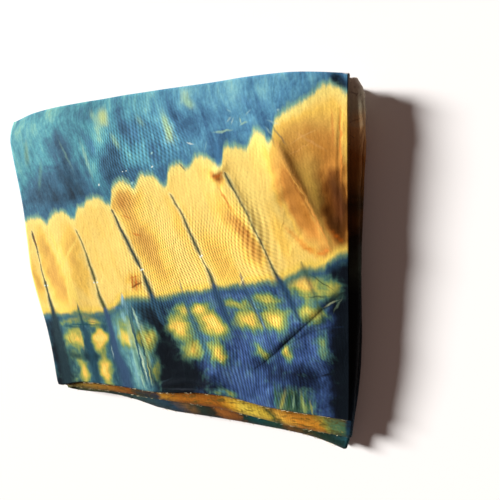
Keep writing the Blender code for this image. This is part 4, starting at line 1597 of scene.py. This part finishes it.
        # Painted shadow: the strips darken towards the top ply's edge above them.
        strip = sheet.stain(sheet.step(v, -1.1, 0.0, 0.7), strip, ClothColour(84, 52, 22))
        base = sheet.colours(along, (
            (0.0, 44, 62, 44), (2.6, 84, 90, 46), (5.0, 44, 60, 52), (8.0, 50, 74, 72),
            (11.8, 40, 62, 80), (13.5, 110, 82, 50), (14.6, 40, 52, 44), (16.0, 46, 44, 34),
            (16.8, 150, 92, 40), (18.4, 124, 76, 36), (19.2, 28, 50, 44), (20.8, 24, 66, 66),
            (23.0, 40, 66, 50), (24.2, 118, 80, 40), (25.4, 84, 70, 36), (26.8, 34, 56, 42),
            (28.4, 28, 54, 50), (29.6, 44, 88, 96), (31.2, 48, 98, 104), (32.2, 9, 13, 22),
        ))
        base = sheet.stain(sheet.step(mottled, 0.0, 1.0, 0.8), base, ClothColour(22, 38, 32))
        low = sheet.step(sheet.scaled(mottled, 0.25, ply), *self.base_plies)
        strip = sheet.stain(low, strip, base)
        in_front = sheet.step(v, 0.12, -0.02)
        under = sheet.step(ply, *self.strip_plies)
        cloth = sheet.stain(sheet.times(in_front, under), cloth, strip)
        wall = sheet.colours(sheet.scaled(uneven, 0.5, v), (
            (-3.0, 40, 90, 100), (-1.0, 28, 52, 72), (4.0, 9, 13, 22), (12.0, 24, 28, 30),
            (14.0, 60, 70, 60), (16.5, 40, 30, 20), (18.2, 96, 60, 22), (19.5, 60, 44, 22),
            (21.0, 130, 84, 34), (23.0, 160, 100, 46), (25.0, 216, 168, 116), (26.5, 200, 190, 160),
            (29.0, 240, 228, 214),
        ))
        wall = sheet.stain(sheet.step(mottled, 0.2, 1.1, 0.7), wall, ClothColour(30, 24, 20))
        past_end, below = sheet.step(u, *self.wall_start), sheet.step(ply, *self.wall_plies)
        return sheet.stain(sheet.times(past_end, below), cloth, wall)

    def weave(self, sheet: NodeSheet, at: Spot, cloth: Socket) -> Socket:
        """Adds the ribs and threads, to the colour, the gloss and the surface.

        Args:
            sheet: the finish's nodes.
            at: the place that is coloured.
            cloth: the colour so far.

        Returns:
            The colour with the weave.
        """
        u, v, place = at
        turn = math.tau * self.threads_per_cm
        warp = sheet.sum("SINE", sheet.times(u, turn))
        weft = sheet.sum("SINE", sheet.times(v, turn))
        threads = sheet.times(warp, weft)
        bend = sheet.grain(place, 0.10, 1.0)
        leaning = sheet.scaled(bend, 1.3, sheet.scaled(v, 0.12, u))
        ribs = sheet.sum("SINE", sheet.times(leaning, math.tau * self.ribs_per_cm))
        turn = math.tau * self.cross_ribs_per_cm
        across = sheet.sum("SINE", sheet.times(sheet.sum("ADD", leaning, v), turn))
        dots = sheet.scaled(across, 0.6, ribs)
        ribbed = sheet.scaled(sheet.attribute(Wash.RIB.value), 1.2, 0.12)
        ribs = sheet.times(dots, ribbed)
        slubs = sheet.grain(sheet.place(sheet.times(u, 6.0), v), 1.3, 2.0)
        speckle = sheet.scaled(sheet.grain(place, 5.5, 3.0), 0.07, 1.0)
        shade = sheet.scaled(slubs, 0.05, speckle)
        cloth = sheet.stain(1.0, cloth, self.tint(sheet, shade, ribs), Lay.SHADE)
        rough = sheet.scaled(slubs, 0.05, self.roughness)
        sheet.feed(sheet.shader.inputs["Roughness"], rough)
        height = sheet.scaled(ribs, 0.25, sheet.times(threads, 0.3))
        height = sheet.scaled(slubs, 0.3, height)
        creased = sheet.grain(sheet.place(u, sheet.times(v, 0.5)), 1.1, 4.0, 0.8)
        height = sheet.scaled(creased, 1.6, height)
        bump = sheet.node("Bump")
        bump.inputs["Strength"].default_value = self.bump_strength
        bump.inputs["Distance"].default_value = self.bump_depth
        sheet.feed(bump.inputs["Height"], height)
        sheet.feed(sheet.shader.inputs["Normal"], bump.outputs["Normal"])
        return cloth

    def tint(self, sheet: NodeSheet, shade: Socket, ribs: Socket) -> Socket:
        """The colour by which the weave dims the dyes, with warmer and darker ribs.

        Args:
            sheet: the finish's nodes.
            shade: how light the threads are.
            ribs: the ribs' height.

        Returns:
            The colour.
        """
        node = sheet.node("CombineColor")
        for socket, depth in zip(node.inputs, self.rib_tints):
            sheet.feed(socket, sheet.scaled(ribs, depth, shade))
        return node.outputs[0]


@dataclass
class FoldedCloth:
    """The whole cloth, as one thin sheet that lies back and forth in the bundle's folds."""

    shape: BundleShape = field(default_factory=BundleShape)
    creases: tuple[Crease, ...] = CREASES
    chart: DyeAndShadeChart = DyeAndShadeChart()
    finish: DyedCotton = DyedCotton()
    thickness: float = 0.7 * MM
    second_ply_share: float = 0.4
    under_end_reach: float = 1.3 * MM
    top_steps: int = 178
    layer_steps: int = 16
    fold_steps: int = 8
    upper_steps: int = 112
    back_steps: int = 6
    under_steps: int = 34
    crowding: float = 0.45
    ripple: float = 0.16 * MM
    end_wave: float = 1.6 * MM
    end_run: tuple[float, float] = (0.016, 0.014)
    end_waves: tuple[tuple[float, float, float], ...] = (
        (88.0, 2.3, 1.0), (205.0, -1.9, 0.7), (420.0, 4.1, 0.5)
    )
    ripple_waves: tuple[tuple[float, float, float, float], ...] = (
        (61.0, 23.0, 0.7, 1.0), (-37.0, 74.0, 2.9, 0.8), (118.0, -66.0, 4.4, 0.55),
        (47.0, 151.0, 1.3, 0.45), (-173.0, -88.0, 5.2, 0.3),
    )
    ripple_per_ply: float = 1.7

    def face_place(self, x: Array, y: Array) -> tuple[Array, Array]:
        """How far a place lies along and across the top face, in centimetres.

        Args:
            x: how far along it is, in metres.
            y: how far across it is, in metres.

        Returns:
            The two distances from its front left corner.
        """
        shape = self.shape
        top = shape.top_layer
        start, end = shape.layer_span(top, x, y)
        front, back = shape.front_line(top, 0, x), shape.back_line(top, x)
        along = shape.width * 100 * (x - start) / (end - start)
        return along, shape.depth * 100 * (y - front) / (back - front)

    def ripples(self, ply: int, x: Array, y: Array) -> Array:
        """The small uneven waves of cloth that has been pressed by hand.

        Args:
            ply: the ply, from the bottom.
            x: how far along it is, in metres.
            y: how far across it is, in metres.

        Returns:
            The waves' height, in metres.
        """
        return self.ripple * sum(
            size * np.sin(per_x * x + per_y * y + turn + self.ripple_per_ply * ply)
            for per_x, per_y, turn, size in self.ripple_waves
        )

    def flat_rows(self, layer: int, side: int, shares: Array, over: Array) -> Array:
        """The places of one side of a layer.

        Args:
            layer: the layer, from the bottom.
            side: 0 or 1, the half of the doubled cloth.
            shares: how far along the layer each station is, as a column.
            over: how far across it each place is, as a row.

        Returns:
            A grid of points, one row a station.
        """
        shape = self.shape
        x, y = shape.flat_place(layer, side, shares, over)
        ply = shape.side_ply(layer, side)
        z = shape.ply_height(ply, x, y)
        if layer == shape.top_layer:
            u, v = self.face_place(x, y)
            share = 1.0 if ply == shape.top_ply else self.second_ply_share
            z = z + share * sum(crease.lift(u, v) for crease in self.creases)
            if ply != shape.top_ply:
                x = x + self.under_end_reach * smooth((shares - 0.9) / 0.1)
        else:
            x = x + self.end_wave * self.wave_at_end(layer, side, x, y)
        z = z + self.ripples(ply, x, y) * (1.0 if ply > 0 else 0.0)
        spare = (shape.ply_thickness - self.thickness) / 2.0
        z = z + spare * (2.0 * ply / shape.top_ply - 1.0)
        return np.stack(np.broadcast_arrays(x, y, z), axis=-1)

    def wave_at_end(self, layer: int, side: int, x: Array, y: Array) -> Array:
        """How unevenly a lower layer's right end lies, from about -1 to 1, most at the back.

        Args:
            layer: the layer, from the bottom.
            side: 0 or 1, the half of the doubled cloth.
            x: how far along it is, in metres.
            y: how far across it is, in metres.

        Returns:
            The share of the greatest wave.
        """
        reach, run = self.end_run
        near = smooth((x - self.shape.right + reach) / run)
        back = 0.35 + 1.1 * smooth((y - 0.05) / 0.06)
        (first, turn_1, size_1), (second, turn_2, size_2), (third, turn_3, size_3) = self.end_waves
        wave = size_1 * np.sin(first * y + turn_1 * layer)
        wave = wave + size_2 * np.sin(second * y + turn_2 * layer + side)
        return near * back * (wave + size_3 * np.sin(third * y + turn_3 * layer)) / 2.0

    def turn_rows(self, fold: int, side: int, over: Array) -> Array:
        """The places where one side of the doubled cloth turns round into the next layer up.

        Args:
            fold: the fold, from the bottom.
            side: 0 or 1, the half of the doubled cloth.
            over: how far across the cloth each place is, as a row.

        Returns:
            A grid of points, one row a station.
        """
        low = self.flat_rows(fold, side, np.ones((1, 1)), over)
        high = self.flat_rows(fold + 1, side, np.zeros((1, 1)), over)
        middle, radius = (low + high) / 2.0, (high - low) / 2.0
        angle = np.pi * np.arange(1, self.fold_steps)[:, None] / self.fold_steps
        rows = middle - radius * np.cos(angle)[..., None]
        plump = self.shape.folds[fold].side * self.shape.fold_plumpness
        rows[..., 0] += plump * radius[..., 2] * np.sin(angle)
        return rows

    def side_rows(self, side: int, over: Array) -> Array:
        """All the places of one side of the cloth, from its lower end to its upper end.

        Args:
            side: 0 or 1, the half of the doubled cloth.
            over: how far across the cloth each place is.

        Returns:
            A grid of points, one row a station.
        """
        found = []
        for layer in range(len(self.shape.layers)):
            steps = self.top_steps if layer == self.shape.top_layer else self.layer_steps
            shares = crowded(steps, self.crowding)[:, None]
            found.append(self.flat_rows(layer, side, shares, over[None, :]))
            if layer < self.shape.top_layer:
                found.append(self.turn_rows(layer, side, over[None, :]))
        return np.concatenate(found)

    def points(self) -> Array:
        """The whole cloth's places, one row a station, from one selvedge to the other.

        Returns:
            A grid of points in metres.
        """
        upper = self.side_rows(0, crowded(self.upper_steps, self.crowding))
        under = self.side_rows(1, crowded(self.under_steps, self.crowding))
        middle = (upper[:, -1:] + under[:, -1:]) / 2.0
        radius = (upper[:, -1:] - under[:, -1:]) / 2.0
        angle = np.pi * np.arange(1, self.back_steps)[None, :, None] / self.back_steps
        turn = middle + radius * np.cos(angle)
        reach = np.linalg.norm(radius, axis=-1) * self.shape.back_plumpness
        turn[..., 1] += reach * np.sin(angle[..., 0])
        return np.concatenate((upper, turn, under[:, ::-1]), axis=1)

    def plies(self) -> Array:
        """The ply that each place belongs to, as a share of the way up from the lowest.

        Returns:
            A grid of plies, for the points.
        """
        shape, rows = self.shape, []
        across = (self.upper_steps + 1, self.back_steps - 1, self.under_steps + 1)
        for layer in range(len(shape.layers)):
            steps = self.top_steps if layer == shape.top_layer else self.layer_steps
            first, second = shape.side_ply(layer, 0), shape.side_ply(layer, 1)
            row = np.repeat([first, (first + second) / 2, second], across)
            rows += [row] * (steps + 1)
            if layer < shape.top_layer:
                above = [shape.side_ply(layer + 1, 0), 0.0, shape.side_ply(layer + 1, 1)]
                above[1] = (above[0] + above[2]) / 2
                next_row = np.repeat(above, across)
                for step in range(1, self.fold_steps):
                    rows.append(mix(row, next_row, step / self.fold_steps))
        return np.array(rows)

    def build(self, move: Vector) -> bpy.types.Object:
        """Lays the sheet in its folds.

        Args:
            move: from the top face's middle to the frame's origin.

        Returns:
            The cloth's object, with its places on the face and its plies as attributes.
        """
        points = self.points()
        stations, places = points.shape[:2]
        u, v = self.face_place(points[..., 0], points[..., 1])
        index = np.arange(stations * places).reshape(stations, places)
        corners = (index[:-1, :-1], index[1:, :-1], index[1:, 1:], index[:-1, 1:])
        faces = np.stack(corners, axis=-1).reshape(-1, 4)
        mesh = bpy.data.meshes.new("dyed_cloth")
        moved = points.reshape(-1, 3) + np.array(move)
        mesh.from_pydata(moved.tolist(), [], faces.tolist())
        mesh.shade_smooth()
        for name, values in (("face_u", u), ("face_v", v), ("ply", self.plies())):
            keep(mesh, name, values)
        self.chart.paint(mesh, u, v)
        self.paint_marks(mesh, u, v)
        self.lay_out_flat(mesh, points)
        cloth = bpy.data.objects.new("dyed_cloth", mesh)
        bpy.context.scene.collection.objects.link(cloth)
        shell = cloth.modifiers.new("thickness", "SOLIDIFY")
        shell.thickness = self.thickness
        shell.offset = 0.0
        shell.use_even_offset = True
        mesh.materials.append(self.finish.material())
        return cloth

    def paint_marks(self, mesh: bpy.types.Mesh, u: Array, v: Array) -> None:
        """Keeps the broad marks' colour, times its share, and the share as attributes; some of
        these marks are painted shade and painted highlight.

        Args:
            mesh: the sheet, before it is thickened.
            u: places along the face, in centimetres.
            v: places across it.
        """
        share = np.zeros(u.shape)
        laid_colour = np.zeros((*u.shape, 3))
        for mark in MARKS:
            if mark.broad:
                cover = mark.cover(u, v)
                share = 1.0 - (1.0 - share) * (1.0 - cover)
                laid = cover[..., None] * np.array(mark.laid_colour.light()[:3])
                laid_colour = laid_colour * (1.0 - cover[..., None]) + laid
        keep(mesh, BROAD_SHARE, share)
        keep(mesh, BROAD_COLOUR, laid_colour, "FLOAT_VECTOR")

    def lay_out_flat(self, mesh: bpy.types.Mesh, points: Array) -> None:
        """Gives the sheet a map of its flat cut in metres, from its own lengths.

        Args:
            mesh: the sheet, before it is thickened.
            points: its places.
        """
        along = np.linalg.norm(np.diff(points, axis=0), axis=-1).mean(axis=1)
        over = np.linalg.norm(np.diff(points, axis=1), axis=-1).mean(axis=0)
        far = np.concatenate(([0.0], np.cumsum(along)))
        wide = np.concatenate(([0.0], np.cumsum(over)))
        grid = np.stack(np.meshgrid(far, wide, indexing="ij"), axis=-1).reshape(-1, 2)
        corners = np.empty(len(mesh.loops), np.int32)
        mesh.loops.foreach_get("vertex_index", corners)
        flat = mesh.uv_layers.new(name="flat_cut")
        flat.uv.foreach_set("vector", grid[corners].astype(np.float32).ravel())
        self.flat_size = (float(wide[-1]), float(far[-1]))
        LOG.info("flat cut %.3f by %.3f m", *self.flat_size)


@dataclass(frozen=True)
class ThreadCotton:
    """Loose cotton threads, from cream to the dyes of the cloth's edge."""

    tones: tuple[tuple[float, ...], ...] = (
        (0.0, 244, 232, 190), (0.25, 214, 196, 140), (0.5, 150, 140, 80), (0.75, 92, 112, 84),
        (1.0, 190, 140, 60),
    )
    worn: ClothColour = ClothColour(250, 242, 214)
    roughness: float = 0.8
    sheen: float = 0.1

    def material(self) -> bpy.types.Material:
        """The threads' finish, with a tone for each thread and worn, paler ends.

        Returns:
            The material.
        """
        sheet = NodeSheet("loose_thread")
        tone = sheet.attribute("thread_tone")
        colour = sheet.colours(tone, self.tones)
        along = sheet.attribute("thread_along")
        worn = sheet.grain(sheet.place(along, tone), 6.0, 3.0)
        share = sheet.step(sheet.scaled(worn, 0.3, along), 0.4, 1.2, 0.6)
        colour = sheet.stain(share, colour, self.worn)
        sheet.feed(sheet.shader.inputs["Base Color"], colour)
        sheet.feed(sheet.shader.inputs["Roughness"], self.roughness)
        sheet.shader.inputs["Sheen Weight"].default_value = self.sheen
        return sheet.material


@dataclass
class LooseThreads:
    """The short threads that fray out of the selvedges in front."""

    shape: BundleShape = field(default_factory=BundleShape)
    finish: ThreadCotton = ThreadCotton()
    radius: float = 0.2 * MM
    sides: int = 3
    steps: int = 6
    per_ply: int = 90
    reach: float = 2.0 * MM
    length: float = 5.0 * MM
    curl: float = 0.5 * MM
    drop: float = 1.2 * MM
    root_inset: float = 0.4 * MM
    root_height: float = 0.3 * MM
    thinning: float = 0.6
    seed: int = 11

    def path(self, layer: int, side: int, rng: np.random.Generator) -> Array:
        """One thread's line, from its root on a ply to its loose end.

        Args:
            layer: the layer it frays out of, from the bottom.
            side: 0 or 1, the half of the doubled cloth.
            rng: where the unevenness comes from.

        Returns:
            The line's points.
        """
        shape = self.shape
        share, over = np.array([[rng.uniform(0.01, 0.99)]]), np.zeros((1, 1))
        x, y = (float(value[0, 0]) for value in shape.flat_place(layer, side, share, over))
        ply = shape.side_ply(layer, side)
        z = float(shape.ply_height(ply, np.array(x), np.array(y)))
        along = np.linspace(0.0, 1.0, self.steps)
        run = self.length * rng.uniform(-1.0, 1.0)
        out = self.reach * rng.uniform(0.3, 1.0) * np.sin(along * rng.uniform(1.2, 2.8))
        curl = self.curl * np.sin(rng.uniform(2.0, 6.0) * along + rng.uniform(0.0, 6.0))
        drop = rng.uniform(self.drop / 6, self.drop) * along**2
        height = z + self.root_height - drop
        path = np.stack((x + run * along + curl, y - out + self.root_inset, height), axis=-1)
        path[:, 2] = np.maximum(path[:, 2], 2.0 * self.radius)
        return path

    def build(self, move: Vector) -> bpy.types.Object:
        """Makes all the threads as thin tubes in one piece.

        Args:
            move: from the top face's middle to the frame's origin.

        Returns:
            The threads' object.
        """
        rng = np.random.default_rng(self.seed)
        points, faces, tones, alongs = [], [], [], []
        for layer in range(len(self.shape.layers)):
            for side in (0, 1):
                for _ in range(self.per_ply):
                    first = len(points)
                    path, tone = self.path(layer, side, rng), float(rng.uniform(0.0, 1.0) ** 1.6)
                    for index, centre in enumerate(path):
                        thin = self.radius * (1.0 - self.thinning * index / (self.steps - 1))
                        for turn in range(self.sides):
                            angle = math.tau * turn / self.sides
                            offset = (0.0, thin * math.cos(angle), thin * math.sin(angle))
                            points.append(centre + np.array(offset) + np.array(move))
                            tones.append(tone)
                            alongs.append(index / (self.steps - 1))
                    for index in range(self.steps - 1):
                        for turn in range(self.sides):
                            low = first + index * self.sides
                            after = (turn + 1) % self.sides
                            high = low + self.sides
                            faces.append((low + turn, low + after, high + after, high + turn))
        mesh = bpy.data.meshes.new("loose_threads")
        mesh.from_pydata([tuple(point) for point in points], [], faces)
        mesh.shade_smooth()
        for name, values in (("thread_tone", tones), ("thread_along", alongs)):
            keep(mesh, name, values)
        threads = bpy.data.objects.new("loose_threads", mesh)
        bpy.context.scene.collection.objects.link(threads)
        mesh.materials.append(self.finish.material())
        LOG.info("%d loose threads", len(self.shape.layers) * 2 * self.per_ply)
        return threads


@dataclass
class Studio:
    """A plain pale floor, a soft lamp low at the left and a pale, warm room."""

    floor_size: float = 6.0
    floor_tone: tuple[float, float, float, float] = (0.86, 0.85, 0.85, 1.0)
    floor_roughness: float = 0.8
    lamp_direction: tuple[float, float, float] = (-0.86, 0.28, 0.39)
    lamp_tone: tuple[float, float, float] = (1.0, 0.985, 0.96)
    lamp_strength: float = 8.9
    lamp_spread: float = 15.0
    room_tone: tuple[float, float, float, float] = (1.0, 0.66, 0.56, 1.0)
    room_strength: float = 0.12
    backdrop_tone: tuple[float, float, float, float] = (0.9, 0.89, 0.89, 1.0)

    def build(self) -> None:
        """Sets the floor, the lamp, the room and how the picture is shown."""
        bpy.ops.mesh.primitive_plane_add(size=self.floor_size, location=(0.0, 0.0, 0.0))
        floor = bpy.context.object
        floor.name = "floor"
        material = bpy.data.materials.new("pale_floor")
        material.use_nodes = True
        shader = material.node_tree.nodes["Principled BSDF"]
        shader.inputs["Base Color"].default_value = self.floor_tone
        shader.inputs["Roughness"].default_value = self.floor_roughness
        floor.data.materials.append(material)
        light = bpy.data.lights.new("window", "SUN")
        light.energy = self.lamp_strength
        light.color = self.lamp_tone
        light.angle = math.radians(self.lamp_spread)
        lamp = bpy.data.objects.new("window", light)
        away = Vector(self.lamp_direction).normalized()
        lamp.location = away
        lamp.rotation_euler = (-away).to_track_quat("-Z", "Y").to_euler()
        bpy.context.scene.collection.objects.link(lamp)
        room = bpy.data.worlds.new("room")
        room.use_nodes = True
        air = room.node_tree.nodes["Background"]
        air.inputs["Color"].default_value = self.room_tone
        air.inputs["Strength"].default_value = self.room_strength
        nodes, join = room.node_tree.nodes, room.node_tree.links.new
        backdrop = nodes.new("ShaderNodeBackground")
        backdrop.inputs["Color"].default_value = self.backdrop_tone
        seen, either = nodes.new("ShaderNodeLightPath"), nodes.new("ShaderNodeMixShader")
        join(seen.outputs["Is Camera Ray"], either.inputs["Fac"])
        join(air.outputs[0], either.inputs[1])
        join(backdrop.outputs[0], either.inputs[2])
        join(either.outputs[0], nodes["World Output"].inputs["Surface"])
        bpy.context.scene.world = room
        bpy.context.scene.view_settings.view_transform = "Standard"


@dataclass
class PhotoCamera:
    """The camera at the place from which the bundle was photographed."""

    place: tuple[float, float, float] = (0.15643, 0.07872, 0.31728)
    right: tuple[float, float, float] = (0.96566, -0.05118, -0.25473)
    forward: tuple[float, float, float] = (-0.25973, -0.2164, -0.94112)
    pixels: float = 500.0
    focal_pixels: float = 361.0
    sensor: float = 36.0

    def build(self, move: Vector) -> None:
        """Sets the camera.

        Args:
            move: from the top face's middle to the frame's origin.
        """
        data = bpy.data.cameras.new("camera")
        data.sensor_width = self.sensor
        data.lens = self.sensor * self.focal_pixels / self.pixels
        camera = bpy.data.objects.new("camera", data)
        right, forward = Vector(self.right).normalized(), Vector(self.forward).normalized()
        up = right.cross(forward).normalized()
        turn = Matrix((right, up, -forward)).transposed().to_4x4()
        camera.matrix_world = Matrix.Translation(Vector(self.place) + move) @ turn
        bpy.context.scene.collection.objects.link(camera)
        bpy.context.scene.camera = camera


def main() -> None:
    """Builds the studio and the folded cloth in its frame."""
    logging.basicConfig(level=logging.INFO, format="%(name)s: %(message)s")
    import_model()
    PhotoCamera().build(FACE_TO_FRAME)
    Studio().build()
    maker = FoldedCloth()
    cloth = maker.build(FACE_TO_FRAME)
    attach(cloth, "root")
    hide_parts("cloth")
    threads = LooseThreads().build(FACE_TO_FRAME)
    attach(threads, "root")


if __name__ == "__main__":
    main()
